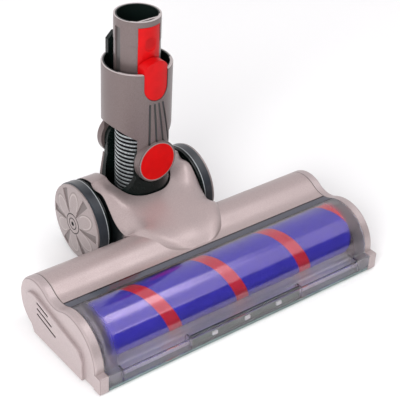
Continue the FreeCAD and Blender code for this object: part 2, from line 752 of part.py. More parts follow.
def drive_motor():
    end = V(-BULKHEAD_X0, MOTOR_Y, MOTOR_Z)
    can = rounded(rod(X_AXIS, MOTOR_R, end, MOTOR_LENGTH), MOTOR_EDGE_R, lambda e: e.Closed)
    tail = rod(X_AXIS, MOTOR_R / 2, end + V(MOTOR_LENGTH, 0, 0), MOTOR_TAIL)
    shaft_way = rod(X_AXIS, MOTOR_SHAFT_R + RUNNING, end, MOTOR_SHAFT_GRIP + PLAY)
    return can.fuse(tail).cut(shaft_way)


def motor_pulley():
    start = belt_x() - BELT_WIDTH / 2
    shaft = rod(X_AXIS, MOTOR_SHAFT_R, V(start, MOTOR_Y, MOTOR_Z), MOTOR_SHAFT_GRIP - BULKHEAD_X0 - start)
    return pulley(MOTOR_PULLEY_R, MOTOR_Y, MOTOR_Z).fuse(shaft)


def roller_pulley():
    # Driven pulley, its shaft through the bulkhead, and the dog in the roller's end.
    start = belt_x()
    dog_x = ROLLER_X0 - DOG_GAP
    shaft = rod(X_AXIS, DRIVE_SHAFT_R, V(start, ROLLER_Y, ROLLER_Z), dog_x - start)
    dog = rod(X_AXIS, DOG_R, V(dog_x - DOG_WALL, ROLLER_Y, ROLLER_Z), DOG_WALL)
    nose = rod(X_AXIS, DOG_R / 2, V(dog_x, ROLLER_Y, ROLLER_Z), DOG_GAP + PLUG_WALL)
    return pulley(ROLLER_PULLEY_R, ROLLER_Y, ROLLER_Z).fuse([shaft, dog, nose])


def drive_bearing():
    start = V(-BULKHEAD_X1, ROLLER_Y, ROLLER_Z)
    bore = DRIVE_SHAFT_R + RUNNING
    return ring(X_AXIS, bore + BEARING_WALL, bore, start, BULKHEAD_WALL)


def end_bearing_seat_x():
    return CAP_INNER_X + SEAM


def end_bearing():
    bore = STUB_SHAFT_R + RUNNING
    return ring(X_AXIS, bore + BEARING_WALL, bore, V(end_bearing_seat_x(), ROLLER_Y, ROLLER_Z), BEARING_WIDTH)


def roller_core():
    length = ROLLER_X1 - ROLLER_X0
    tube = ring(X_AXIS, CORE_R, CORE_R - CORE_WALL, V(ROLLER_X0, ROLLER_Y, ROLLER_Z), length)
    socket = ring(X_AXIS, CORE_R, DOG_R / 2 + RUNNING, V(ROLLER_X0, ROLLER_Y, ROLLER_Z), PLUG_WALL)
    plug = rod(X_AXIS, CORE_R, V(ROLLER_X1 - PLUG_WALL, ROLLER_Y, ROLLER_Z), PLUG_WALL)
    stub_end = end_bearing_seat_x() + BEARING_WIDTH
    stub = rod(X_AXIS, STUB_SHAFT_R, V(ROLLER_X1, ROLLER_Y, ROLLER_Z), stub_end - ROLLER_X1)
    return tube.fuse([socket, plug, stub]).removeSplitter()


def band_half_turns(width, phase_x):
    # A helical band of the pile sleeve in half turns, as wide as given along the roller.
    helix = Part.makeHelix(STRIPE_PITCH, STRIPE_PITCH / 2, ROLLER_R)
    low = CORE_R - PLAY
    high = ROLLER_R + PLAY
    half = width / 2
    corners = [V(low, 0, -half), V(high, 0, -half), V(high, 0, half), V(low, 0, half)]
    turn = Part.Wire(helix.Edges).makePipeShell([Part.Wire(polygon(corners))], True, True)
    turn.rotate(V(0, 0, 0), Y_AXIS, 90)
    turn.rotate(V(0, 0, 0), X_AXIS, 180)
    turn.translate(V(phase_x, ROLLER_Y, ROLLER_Z))
    first = math.floor((ROLLER_X0 - phase_x - half) / (STRIPE_PITCH / 2))
    last = math.ceil((ROLLER_X1 - phase_x + half) / (STRIPE_PITCH / 2))
    sleeve = ring(X_AXIS, ROLLER_R, CORE_R, V(ROLLER_X0, ROLLER_Y, ROLLER_Z), ROLLER_X1 - ROLLER_X0)
    pieces = []
    for i in range(first, last):
        piece = turn.copy()
        piece.rotate(V(0, ROLLER_Y, ROLLER_Z), X_AXIS, 180 * i)
        piece.translate(V(i * STRIPE_PITCH / 2, 0, 0))
        pieces += sleeve.common(piece).Solids
    return Part.makeCompound(pieces)


def roller_stripe():
    return band_half_turns(STRIPE_WIDTH, STRIPE_PHASE_X)


def roller_plush():
    return band_half_turns(STRIPE_PITCH - STRIPE_WIDTH, STRIPE_PHASE_X + STRIPE_PITCH / 2)


def cover_edges(x):
    edge = WINDOW_EDGE - SEAM / SADDLE_R
    inner_z = LEDGE_Z - LEDGE_WALL
    outer_front = lobe_front(0.0, LEDGE_Z)
    inner_front = lobe_front(COVER_WALL, inner_z)
    inner_y = FRONT_Y + LEDGE_WALL
    profile = [
        yz(*on_circle(LOBE, LOBE_R, outer_front), x),
        yz(FRONT_Y, LEDGE_Z, x),
        yz(FRONT_Y, LEDGE_FOOT_Z, x),
        yz(inner_y, LEDGE_FOOT_Z, x),
        yz(inner_y, inner_z, x),
        yz(*on_circle(LOBE, LOBE_R - COVER_WALL, inner_front), x),
    ]
    back_outer = yz(*on_circle(SADDLE, SADDLE_R, edge), x)
    back_inner = yz(*on_circle(SADDLE, SADDLE_R + COVER_WALL, edge), x)
    return [
        arc(SADDLE, SADDLE_R, edge, SADDLE_FRONT, x),
        arc(LOBE, LOBE_R, LOBE_TOUCH, outer_front, x),
        *[line(a, b) for a, b in zip(profile, profile[1:])],
        arc(LOBE, LOBE_R - COVER_WALL, inner_front, LOBE_TOUCH, x),
        arc(SADDLE, SADDLE_R + COVER_WALL, SADDLE_FRONT, edge, x),
        line(back_inner, back_outer),
    ]


def clear_cover():
    # Clear lobe over the roller, with a hollow ledge in front and ribs inside the ledge.
    shell = prism(cover_edges(-SHELL_X), V(2 * SHELL_X, 0, 0))
    rib_back = LOBE_Y - LOBE_R + COVER_WALL
    half = RIB_WALL / 2
    ribs = []
    for x in (-RIB_FIRST, -RIB_SECOND, RIB_SECOND, RIB_FIRST):
        ribs.append(block(x - half, x + half, FRONT_Y + half, rib_back, LEDGE_FOOT_Z, LEDGE_Z - half))
    return shell.fuse(ribs).removeSplitter()


def front_lip():
    half = CAP_INNER_X - SEAM
    bar = block(-half, half, FRONT_Y + PLAY, FRONT_Y + LIP_DEPTH, LIP_FOOT_Z, LEDGE_FOOT_Z)
    ahead = FRONT_Y + LIP_BEVEL
    low_front = [e for e in bar.Edges
                 if all(abs(v.Z - LIP_FOOT_Z) < 1e-4 and v.Y < ahead for v in e.Vertexes)]
    return bar.makeChamfer(LIP_BEVEL, low_front)


def lamp_y():
    return FRONT_Y + LEDGE_WALL + RUNNING


def front_lights():
    half_x = LIGHT_WIDTH / 2
    half_z = LIGHT_HEIGHT / 2
    lamps = []
    for x in (-LIGHT_PITCH, 0.0, LIGHT_PITCH):
        lamps.append(block(x - half_x, x + half_x, lamp_y(), lamp_y() + LIGHT_DEPTH,
                           LIGHT_Z - half_z, LIGHT_Z + half_z))
    return Part.makeCompound(lamps)


def light_board():
    half = RIB_SECOND - RIB_WALL / 2 - RUNNING
    start = lamp_y() + LIGHT_DEPTH
    return block(-half, half, start, start + BOARD_WALL, LEDGE_FOOT_Z + PLAY, LEDGE_Z - LEDGE_WALL)


def cap_pad():
    # Raised belt cover on the cap's outer face, two rounds joined by a tangent, down to the sole.
    rear = (HUMP_Y, HUMP_Z)
    front = (ROLLER_Y - PAD_FRONT_AHEAD, PAD_FRONT_Z)
    upper = tangent_angle(rear, PAD_REAR_R, front, PAD_FRONT_R)
    x = FACE_X - CAP_WALL / 2
    foot_z = SOLE_Z + PAD_EDGE
    rear_top = yz(*on_circle(rear, PAD_REAR_R, upper), x)
    front_top = yz(*on_circle(front, PAD_FRONT_R, upper), x)
    front_side = yz(front[0] - PAD_FRONT_R, front[1], x)
    rear_side = yz(rear[0] + PAD_REAR_R, rear[1], x)
    rear_foot = yz(rear[0], foot_z, x)
    front_foot = yz(front_side.y, foot_z, x)
    edges = [
        arc(rear, PAD_REAR_R, 0.0, upper, x),
        line(rear_top, front_top),
        arc(front, PAD_FRONT_R, upper, math.pi, x),
        line(front_side, front_foot),
        line(front_foot, rear_foot),
        line(rear_foot, rear_side),
    ]
    pad = prism(edges, V(CAP_WALL / 2 + PAD_RISE, 0, 0))
    return rounded(pad, PAD_EDGE, lambda e: at_x(e, FACE_X + PAD_RISE))


def vents():
    # Sloping slots, each lower one longer than the one above.
    slots = []
    for i in range(VENT_COUNT):
        length = VENT_FIRST_LENGTH + i * VENT_LENGTH_STEP
        slot = block(0, 2 * CAP_WIDTH, -length, 0, -VENT_HEIGHT / 2, VENT_HEIGHT / 2)
        slot.rotate(V(0, 0, 0), X_AXIS, VENT_SLOPE_DEG)
        slot.translate(V(FACE_X - CAP_WIDTH, HUMP_Y - VENT_START_Y, VENT_TOP_Z - i * VENT_PITCH))
        slots.append(slot)
    return slots[0].fuse(slots[1:])


def end_cap():
    # Cap on the +X side: lobe and hump outline, front foot, raised pad, hollow inside.
    body = head_prism(0.0, CAP_INNER_X, FACE_X)
    body = rounded(body, CAP_EDGE_R, lambda e: at_x(e, FACE_X))
    foot_back = LOBE_Y - LOBE_R + CAP_WALL
    foot = block(CAP_INNER_X, FACE_X, FRONT_Y, foot_back, SOLE_Z, LEDGE_Z)
    foot = rounded(foot, FOOT_EDGE, lambda e: e.BoundBox.YMax < FRONT_Y + 1e-3 or at_x(e, FACE_X))
    hollow = head_prism(CAP_WALL, CAP_INNER_X, FACE_X - CAP_WALL)
    return body.fuse([foot, cap_pad()]).cut(hollow)


def left_end_cap():
    return mirrored_x(end_cap().cut(vents())).removeSplitter()


def right_end_cap():
    seat_r = STUB_SHAFT_R + RUNNING + BEARING_WALL
    start = V(end_bearing_seat_x(), ROLLER_Y, ROLLER_Z)
    depth = FACE_X - CAP_WALL - end_bearing_seat_x()
    boss = ring(X_AXIS, seat_r + CAP_WALL, seat_r, start, depth)
    return end_cap().fuse(boss).removeSplitter()


def neck_rod(radius, z0, z1):
    return rod(Z_AXIS, radius, V(0, AXLE_Y, z0), z1 - z0)


def neck_ring(outer, inner, z0, z1):
    return neck_rod(outer, z0, z1).cut(neck_rod(inner, z0, z1))


def drum(radius, half):
    return rod(X_AXIS, radius, V(-half, AXLE_Y, AXLE_Z), 2 * half)


def ear_prism(y0, y1):
    # Outline of an ear seen from the front: round top, waist, and a flare down to the rim.
    foot_z = YOKE_RIM_Z - YOKE_WALL
    half = EAR_HALF_WIDTH

    def flare(side):
        waist = V(side * half, y0, EAR_WAIST_Z)
        middle = V(side * (half + EAR_FLARE_MID), y0, EAR_FLARE_MID_Z)
        foot = V(side * (half + EAR_FLARE), y0, foot_z)
        return Part.Arc(waist, middle, foot).toShape()

    top = Part.Arc(V(-half, y0, PIVOT_Z), V(0, y0, PIVOT_Z + half), V(half, y0, PIVOT_Z)).toShape()
    edges = [top, flare(-1), flare(1)]
    edges += [line(V(s * half, y0, PIVOT_Z), V(s * half, y0, EAR_WAIST_Z)) for s in (-1, 1)]
    edges.append(line(V(-half - EAR_FLARE, y0, foot_z), V(half + EAR_FLARE, y0, foot_z)))
    return prism(edges, V(0, y1 - y0, 0))


def lobe_space(y0, y1):
    return rod(Y_AXIS, LOBE_OUTER_R + LOBE_CLEARANCE, V(0, y0, PIVOT_Z), y1 - y0)


def front_ear():
    # Curved outside like the cup, flat inside, cut away in front for the collar's lobe.
    front = AXLE_Y - NECK_R
    top = PIVOT_Z + EAR_HALF_WIDTH
    wall = neck_ring(NECK_R, NECK_R - YOKE_WALL, DECK_Z, top)
    plate = neck_rod(NECK_R, DECK_Z, top).common(block(-NECK_R, NECK_R, front, EAR_INNER, DECK_Z, top))
    curved = wall.fuse(plate).common(ear_prism(front, AXLE_Y))
    stem = block(-EAR_HALF_WIDTH, EAR_HALF_WIDTH, EAR_OUTER, EAR_INNER, DECK_Z, YOKE_RIM_Z)
    return curved.cut(lobe_space(front, EAR_OUTER)).fuse(stem)


def yoke():
    # Cup on a drum, hollow, with two ears and a mouth towards the duct.
    inner_r = NECK_R - YOKE_WALL
    low = drum(NECK_R, YOKE_HALF_WIDTH)
    low = low.common(block(-NECK_R, NECK_R, FRONT_Y, -2 * FRONT_Y, 0, YOKE_RIM_Z))
    outer = neck_rod(NECK_R, AXLE_Z, YOKE_RIM_Z).fuse(low)
    inner = neck_rod(inner_r, AXLE_Z, YOKE_RIM_Z).fuse(drum(inner_r, YOKE_HALF_WIDTH - YOKE_WALL))
    slab = block(-NECK_R, NECK_R, AXLE_Y - NECK_R, AXLE_Y + NECK_R, DECK_Z, DECK_Z + DECK_WALL)
    mouth_half = YOKE_MOUTH_HALF_WIDTH
    mouth = block(-mouth_half, mouth_half, AXLE_Y - 2 * NECK_R, AXLE_Y, DUCT_LOW_Z, AXLE_Z - YOKE_WALL / 2)
    ear = front_ear()
    body = outer.cut(inner).cut(mouth).fuse([outer.common(slab), ear, mirrored_neck(ear)])
    body = body.cut(neck_rod(DECK_BORE_R, DECK_Z, DECK_Z + DECK_WALL))
    body = body.cut(drum(BUSH_R + RUNNING, NECK_R + PLAY))
    pins = rod(Y_AXIS, PIN_R + RUNNING, V(0, AXLE_Y - NECK_R, PIVOT_Z), 2 * NECK_R)
    return body.cut(pins).removeSplitter()


def yoke_rear_cover():
    # Thin skin on the back of the yoke, outside its drum, up to the rear ear's flare.
    inner = NECK_R + RUNNING
    outer = inner + REAR_COVER_WALL
    back = AXLE_Y + outer
    top = PIVOT_Z + EAR_HALF_WIDTH
    skin = neck_ring(outer, inner, AXLE_Z, top)
    low = block(-YOKE_HALF_WIDTH, YOKE_HALF_WIDTH, AXLE_Y, back, AXLE_Z, YOKE_RIM_Z)
    outline = low.fuse(ear_prism(AXLE_Y, back))
    skin = skin.common(outline).cut(drum(inner, 2 * YOKE_HALF_WIDTH))
    return skin.cut(mirrored_neck(lobe_space(AXLE_Y - 2 * NECK_R, EAR_OUTER)))


def bush(side):
    tip = YOKE_HALF_WIDTH - YOKE_WALL - PLAY
    body = rod(X_AXIS, BUSH_R, V(tip, AXLE_Y, AXLE_Z), CHEEK_OUTER - tip)
    flange = rod(X_AXIS, BUSH_FLANGE_R, V(CHEEK_OUTER, AXLE_Y, AXLE_Z), BUSH_FLANGE_WALL)
    whole = body.fuse(flange).cut(drum(AXLE_R + RUNNING, 2 * CHEEK_OUTER))
    return whole if side > 0 else mirrored_x(whole)


def left_bush():
    return bush(-1)


def right_bush():
    return bush(1)


def axle():
    # Shoulder pin through the hub's boss into the bush.
    boss_end = WHEEL_INNER_X + HUB_BOSS_LENGTH + PLAY
    tip = CHEEK_OUTER - AXLE_GRIP
    shank = rod(X_AXIS, AXLE_R, V(tip, AXLE_Y, AXLE_Z), boss_end - tip)
    return shank.fuse(rod(X_AXIS, AXLE_HEAD_R, V(boss_end, AXLE_Y, AXLE_Z), AXLE_HEAD_WALL))


def left_axle():
    return mirrored_x(axle())


def right_axle():
    return axle()


def wheel_ring(outer, inner, x0, x1):
    return ring(X_AXIS, outer, inner, V(x0, AXLE_Y, AXLE_Z), x1 - x0)


def tyre():
    band = wheel_ring(WHEEL_R, WHEEL_R - TYRE_DEPTH, WHEEL_INNER_X + HUB_FLANGE, WHEEL_OUTER_X - HUB_FLANGE)
    return rounded(band, TYRE_EDGE_R, lambda e: abs(e.BoundBox.ZMax - AXLE_Z - WHEEL_R) < 1e-3 and e.Closed)


def left_tyre():
    return mirrored_x(tyre())


def right_tyre():
    return tyre()


def hub():
    bore = AXLE_R + RUNNING
    barrel_r = WHEEL_R - TYRE_DEPTH
    flange = wheel_ring(HUB_R, bore, WHEEL_INNER_X, WHEEL_INNER_X + HUB_FLANGE)
    barrel = wheel_ring(barrel_r, barrel_r - HUB_BARREL_WALL, WHEEL_INNER_X, WHEEL_OUTER_X - HUB_FLANGE)
    boss = wheel_ring(HUB_BOSS_R, bore, WHEEL_INNER_X, WHEEL_INNER_X + HUB_BOSS_LENGTH)
    return flange.fuse([barrel, boss]).removeSplitter()


def left_hub():
    return mirrored_x(hub())


def right_hub():
    return hub()


def ball_radius(radius, rise):
    # Radius of the sphere whose cap has the given rim radius and rise.
    return (radius ** 2 + rise ** 2) / (2 * rise)


def dome(radius, base_x, edge_x, crown_x):
    # Round block about the wheel axis with a shallow spherical end.
    ball_r = ball_radius(radius, crown_x - edge_x)
    ball = Part.makeSphere(ball_r)
    ball.rotate(V(0, 0, 0), Z_AXIS, 90)
    ball.translate(V(crown_x - ball_r, AXLE_Y, AXLE_Z))
    return rod(X_AXIS, radius, V(base_x, AXLE_Y, AXLE_Z), crown_x - base_x).common(ball)


def petal_gaps(x0, x1):
    # Wedges between the petals, as prisms along the wheel axis.
    gaps = []
    for i in range(PETALS):
        corners = [
            V(x0, -PETAL_GAP_FOOT, PETAL_FOOT_R),
            V(x0, -PETAL_GAP_TIP, PETAL_TIP_R),
            V(x0, PETAL_GAP_TIP, PETAL_TIP_R),
            V(x0, PETAL_GAP_FOOT, PETAL_FOOT_R),
        ]
        wedge = prism(polygon(corners), V(x1 - x0, 0, 0))
        wedge.rotate(V(0, 0, 0), X_AXIS, (i + 0.5) * 360 / PETALS)
        wedge.translate(V(0, AXLE_Y, AXLE_Z))
        gaps.append(wedge)
    return gaps


def hubcap():
    # Domed wheel face with petals, two rings and a centre hole cut shallowly into it.
    base = WHEEL_OUTER_X - HUB_FLANGE + PLAY / 2
    crown = WHEEL_OUTER_X + CAP_DOME
    barrel_bore = WHEEL_R - TYRE_DEPTH - HUB_BARREL_WALL
    shell = dome(HUB_R, base, WHEEL_OUTER_X, crown)
    shell = shell.cut(dome(barrel_bore, base, WHEEL_OUTER_X - CAP_SKIN / 2, crown - CAP_SKIN))
    skirt_end = base - HUBCAP_SKIRT
    skirt = wheel_ring(barrel_bore - RUNNING, barrel_bore - CAP_SKIN, skirt_end, base + CAP_SKIN / 2)
    marks = petal_gaps(base, crown)
    for radius in HUBCAP_RINGS:
        half = HUBCAP_RING_WIDTH / 2
        marks.append(wheel_ring(radius + half, radius - half, base, crown))
    marks.append(rod(X_AXIS, HUBCAP_HOLE_R, V(base, AXLE_Y, AXLE_Z), crown - base))
    under = dome(HUB_R, base, WHEEL_OUTER_X - PETAL_GROOVE, crown - PETAL_GROOVE)
    return shell.cut([mark.cut(under) for mark in marks]).fuse(skirt).removeSplitter()


def left_hubcap():
    return mirrored_x(hubcap())


def right_hubcap():
    return hubcap()


def hose():
    # Ribbed hose: one flat-topped fold after another about the neck's axis.
    pitch = (HOSE_TOP_Z - HOSE_FOOT_Z) / HOSE_RIBS
    valley = HOSE_R - HOSE_RIB_DEPTH
    slope = HOSE_RIB_SLOPE * pitch
    points = [(HOSE_BORE_R, HOSE_FOOT_Z), (valley, HOSE_FOOT_Z)]
    for i in range(HOSE_RIBS):
        low = HOSE_FOOT_Z + i * pitch
        points += [(HOSE_R, low + slope), (HOSE_R, low + pitch - slope), (valley, low + pitch)]
    points.append((HOSE_BORE_R, HOSE_TOP_Z))
    face = Part.Face(Part.Wire(polygon([V(radius, AXLE_Y, z) for radius, z in points])))
    return face.revolve(V(0, AXLE_Y, 0), Z_AXIS, 360)


def hose_foot_cuff():
    sleeve = neck_ring(HOSE_R, HOSE_BORE_R - CUFF_WALL / 2, DECK_Z + DECK_WALL, HOSE_FOOT_Z)
    tail = neck_ring(DECK_BORE_R - RUNNING, HOSE_BORE_R - CUFF_WALL / 2, DECK_Z, DECK_Z + DECK_WALL)
    return sleeve.fuse(tail).removeSplitter()


def hose_top_cuff():
    sleeve = neck_ring(HOSE_R, HOSE_BORE_R, HOSE_TOP_Z, SPIGOT_FOOT_Z)
    tail = neck_ring(SPIGOT_BORE_R - RUNNING, HOSE_BORE_R, SPIGOT_FOOT_Z, SPIGOT_FOOT_Z + CUFF_HEIGHT)
    return sleeve.fuse(tail).removeSplitter()


def arch_prism():
    # Opening between the arms, seen from the side: straight arms under a curved top.
    x = -2 * COLLAR_R
    gap = ARM_HALF_GAP
    left_top = V(x, AXLE_Y - gap, ARM_TOP_Z)
    right_top = V(x, AXLE_Y + gap, ARM_TOP_Z)
    left_foot = V(x, AXLE_Y - gap, PIVOT_Z - LOBE_OUTER_R)
    right_foot = V(x, AXLE_Y + gap, PIVOT_Z - LOBE_OUTER_R)
    crown = Part.Arc(left_top, V(x, AXLE_Y, ARCH_TOP_Z), right_top).toShape()
    edges = [crown, line(left_top, left_foot), line(left_foot, right_foot), line(right_foot, right_top)]
    return prism(edges, V(-2 * x, 0, 0))


def flutes():
    # Shallow grooves that fan out down the collar's front.
    grooves = []
    for i in range(FLUTE_COUNT):
        ends = []
        for z, pitch in ((FLUTE_TOP_Z, FLUTE_TOP_PITCH), (FLUTE_FOOT_Z, FLUTE_FOOT_PITCH)):
            x = FLUTE_FIRST_X + i * pitch
            ends.append(V(x, AXLE_Y - math.sqrt((COLLAR_R + FLUTE_R / 2) ** 2 - x ** 2), z))
        way = ends[1] - ends[0]
        grooves.append(rod(way, FLUTE_R, ends[0], way.Length))
        grooves.append(Part.makeSphere(FLUTE_R, ends[0]))
    return grooves


def pivot_lobe():
    # Round lobe at the foot of the front arm, with the recess for its cap.
    disc = rod(Y_AXIS, LOBE_OUTER_R, V(0, PIVOT_LIP_Y, PIVOT_Z), ARM_INNER - PIVOT_LIP_Y)
    return rounded(disc, LOBE_EDGE_R, lambda e: e.Closed and abs(e.BoundBox.YMax - PIVOT_LIP_Y) < 1e-3)


def pivot_recess():
    ahead = V(0, PIVOT_LIP_Y - COLLAR_WALL, PIVOT_Z)
    recess = rod(Y_AXIS, PIVOT_CAP_R + PLAY / 2, ahead, PIVOT_CAP_WALL + COLLAR_WALL)
    return recess.fuse(rod(Y_AXIS, PIN_R + RUNNING, V(0, PIVOT_LIP_Y, PIVOT_Z), ARM_INNER - PIVOT_LIP_Y))


def collar():
    # Sleeve with arched sides, a front and a rear arm, a seat for the spigot and a slot for the button.
    ledge_foot = FLANGE_Z - COLLAR_LEDGE_WALL
    between = block(-COLLAR_R, COLLAR_R, AXLE_Y - ARM_HALF_GAP, AXLE_Y + ARM_HALF_GAP, PIVOT_Z, ledge_foot)
    slot = pad_outline(-PLAY, AXLE_Y - 2 * COLLAR_R, AXLE_Y)
    body = neck_rod(COLLAR_R, PIVOT_Z, COLLAR_TOP_Z)
    body = rounded(body, COLLAR_EDGE_R, lambda e: e.Closed and abs(e.BoundBox.ZMin - COLLAR_TOP_Z) < 1e-3)
    body = body.cut(neck_rod(COLLAR_BORE_R, FLANGE_Z, COLLAR_TOP_Z)).cut(arch_prism())
    body = body.cut(neck_rod(COLLAR_LEDGE_R, ledge_foot, FLANGE_Z))
    body = body.cut(neck_rod(COLLAR_BORE_R, PIVOT_Z, ledge_foot).common(between)).cut(slot)
    lobe = pivot_lobe()
    body = body.fuse([lobe, mirrored_neck(lobe)])
    body = body.cut([pivot_recess(), mirrored_neck(pivot_recess())]).cut(flutes())
    return body.removeSplitter()


def front_pivot_cap():
    # Slightly domed disc that closes the lobe's recess.
    crown_y = PIVOT_LIP_Y - PIVOT_CAP_DOME
    ball_r = ball_radius(PIVOT_CAP_R, PIVOT_CAP_DOME / 2)
    ball = Part.makeSphere(ball_r, V(0, crown_y + ball_r, PIVOT_Z))
    return rod(Y_AXIS, PIVOT_CAP_R, V(0, crown_y, PIVOT_Z), PIN_HEAD_Y - crown_y).common(ball)


def rear_pivot_cap():
    return mirrored_neck(front_pivot_cap())


def front_pivot_pin():
    return rod(Y_AXIS, PIN_R, V(0, PIN_HEAD_Y, PIVOT_Z), EAR_INNER - PLAY - PIN_HEAD_Y)


def rear_pivot_pin():
    return mirrored_neck(front_pivot_pin())


def button_pin_y():
    return AXLE_Y - SPIGOT_R - BUTTON_PIN_AHEAD


def pin_lugs(first_x, y0, y1):
    # Pair of lugs for the button's pin, their inner faces at first_x from the middle.
    low = BUTTON_PIN_Z - LUG_HEIGHT / 2
    right = block(first_x, first_x + LUG_WIDTH, y0, y1, low, low + LUG_HEIGHT)
    return right.fuse(mirrored_x(right))


def pin_bore():
    start = V(-PAD_HALF_WIDTH, button_pin_y(), BUTTON_PIN_Z)
    return rod(X_AXIS, BUTTON_PIN_R + RUNNING, start, 2 * PAD_HALF_WIDTH)


def spigot():
    # Tube for the wand: a seat at its tip over a relieved shank, a flange, a keyway, and the button's pocket.
    # The seat is made in rings that end where the keyway and the window end.
    front = AXLE_Y - SPIGOT_R
    chord_y = AXLE_Y - CHORD_OFFSET
    window_top = BUTTON_TOP_Z + PLAY
    tube = neck_ring(SHANK_R, SPIGOT_BORE_R, SPIGOT_FOOT_Z, SEAT_FOOT_Z)
    levels = sorted([SEAT_FOOT_Z, KEYWAY_TOP_Z, window_top, SPIGOT_TOP_Z])
    seat = [neck_ring(SPIGOT_R, SPIGOT_BORE_R, low, high) for low, high in zip(levels, levels[1:])]
    flange = neck_ring(COLLAR_BORE_R - PLAY / 3, SPIGOT_BORE_R, FLANGE_Z, FLANGE_Z + FLANGE_WALL)
    inside = neck_rod(SPIGOT_BORE_R + SPIGOT_WALL / 2, POCKET_FOOT_Z, SPIGOT_TOP_Z - CHORD_WALL)
    half = SPIGOT_R
    pocket_top = POCKET_FOOT_Z + CHORD_WALL
    chord = inside.common(block(-half, half, chord_y - CHORD_WALL, chord_y, POCKET_FOOT_Z, SPIGOT_TOP_Z))
    pocket_floor = inside.common(block(-half, half, front, chord_y, POCKET_FOOT_Z, pocket_top))
    lug_x = BUTTON_LUG_X + LUG_WIDTH + PLAY
    lugs = pin_lugs(lug_x, button_pin_y() - LUG_HEIGHT / 2, AXLE_Y - SPIGOT_BORE_R + LUG_SINK)
    half = BUTTON_HALF_WIDTH + PLAY / 3
    window = block(-half, half, front - PLAY, chord_y - CHORD_WALL, pocket_top + CHORD_WALL, window_top)
    key_x = SPIGOT_R - KEYWAY_DEPTH
    keyway = block(-2 * SPIGOT_R, -key_x, AXLE_Y - KEYWAY_WIDTH / 2, AXLE_Y + KEYWAY_WIDTH / 2,
                   FLANGE_Z + FLANGE_WALL, KEYWAY_TOP_Z)
    body = tube.fuse(seat + [flange, chord, pocket_floor, lugs])
    body = body.cut(neck_rod(SPIGOT_BORE_R, SPIGOT_FOOT_Z, POCKET_FOOT_Z))
    return body.cut([window, keyway, pin_bore()])


def pad_outline(inset, y0, y1):
    # The pad seen from the front: straight sides between a half-round foot and a curved top.
    half = PAD_HALF_WIDTH - inset
    foot = BUTTON_FOOT_Z + inset
    left = V(-half, y0, PAD_SHOULDER_Z - inset)
    right = V(half, y0, PAD_SHOULDER_Z - inset)
    low_left = V(-half, y0, foot + half)
    low_right = V(half, y0, foot + half)
    crown = Part.Arc(left, V(0, y0, PAD_TOP_Z - inset), right).toShape()
    round_foot = Part.Arc(low_right, V(0, y0, foot), low_left).toShape()
    edges = [crown, line(right, low_right), round_foot, line(low_left, left)]
    return prism(edges, V(0, y1 - y0, 0))


def release_button():
    # Rocking button: hollow pad in the collar's slot and a strip in the spigot's window.
    front = AXLE_Y - COLLAR_R
    skin = BUTTON_SKIN
    outside = neck_rod(PAD_OUTER_R, BUTTON_FOOT_Z, PAD_TOP_Z)
    back_r = SPIGOT_R + PAD_BACK_GAP
    around = neck_rod(back_r, BUTTON_FOOT_Z, PAD_TOP_Z)
    pad = pad_outline(0.0, front, AXLE_Y).common(outside).cut(around)
    foot = POCKET_FOOT_Z + 3 * CHORD_WALL
    inside = neck_rod(PAD_OUTER_R - skin, BUTTON_FOOT_Z, PAD_TOP_Z)
    open_foot = neck_rod(PAD_OUTER_R - skin, BUTTON_FOOT_Z, BUTTON_FOOT_Z + PAD_HALF_WIDTH)
    inside = inside.cut(neck_rod(back_r + skin, foot, PAD_TOP_Z))
    pad = pad.cut(pad_outline(skin, front, AXLE_Y).common(inside)).cut(open_foot)
    half = BUTTON_HALF_WIDTH
    strip = neck_ring(SHANK_R, SHANK_R - skin, foot, BUTTON_TOP_Z)
    strip = strip.common(block(-half, half, AXLE_Y - SPIGOT_R, AXLE_Y, foot, BUTTON_TOP_Z))
    web = neck_ring(back_r + skin / 2, SHANK_R - skin / 2, foot, PAD_SHOULDER_Z - skin)
    web = web.common(block(-half, half, front, AXLE_Y, foot, PAD_SHOULDER_Z))
    catch = rod(Y_AXIS, CATCH_R, V(0, front, CATCH_Z), AXLE_Y - SHANK_R - front + CATCH_DEPTH)
    lug_front = AXLE_Y - PAD_OUTER_R + skin / 2
    lugs = pin_lugs(BUTTON_LUG_X, lug_front, button_pin_y() + BUTTON_PIN_R + PLAY)
    return pad.fuse([strip, web, lugs]).cut([catch, pin_bore()]).removeSplitter()


def button_pin():
    half = BUTTON_LUG_X + 2 * LUG_WIDTH + PLAY
    return rod(X_AXIS, BUTTON_PIN_R, V(-half, button_pin_y(), BUTTON_PIN_Z), 2 * half)


def button_spring():
    # Leaf spring bent from the spigot out to the back of the pad.
    near = AXLE_Y - SHANK_R - RUNNING
    pad_back = math.sqrt((PAD_OUTER_R - BUTTON_SKIN) ** 2 - SPRING_HALF_WIDTH ** 2)
    far = AXLE_Y - pad_back + RUNNING
    low_bend = SPRING_FOOT_Z + SPRING_FLAT
    high_bend = SPRING_TOP_Z - SPRING_FLAT
    outline = [
        (near - SPRING_WALL, SPRING_FOOT_Z),
        (near - SPRING_WALL, low_bend),
        (far, high_bend),
        (far, SPRING_TOP_Z),
        (far + SPRING_WALL, SPRING_TOP_Z),
        (far + SPRING_WALL, high_bend + SPRING_WALL / 2),
        (near, low_bend + SPRING_WALL / 2),
        (near, SPRING_FOOT_Z),
    ]
    points = [yz(y, z, -SPRING_HALF_WIDTH) for y, z in outline]
    return prism(polygon(points), V(2 * SPRING_HALF_WIDTH, 0, 0))


def contact_slots(width, wall, top):
    near = AXLE_Y + PLUG_FRONT + PLUG_DEPTH / 2
    foot = PLUG_TOP_Z - CONTACT_DEPTH
    return [block(x - width / 2, x + width / 2, near - wall / 2, near + wall / 2, foot, top)
            for x in (-CONTACT_X, CONTACT_X)]


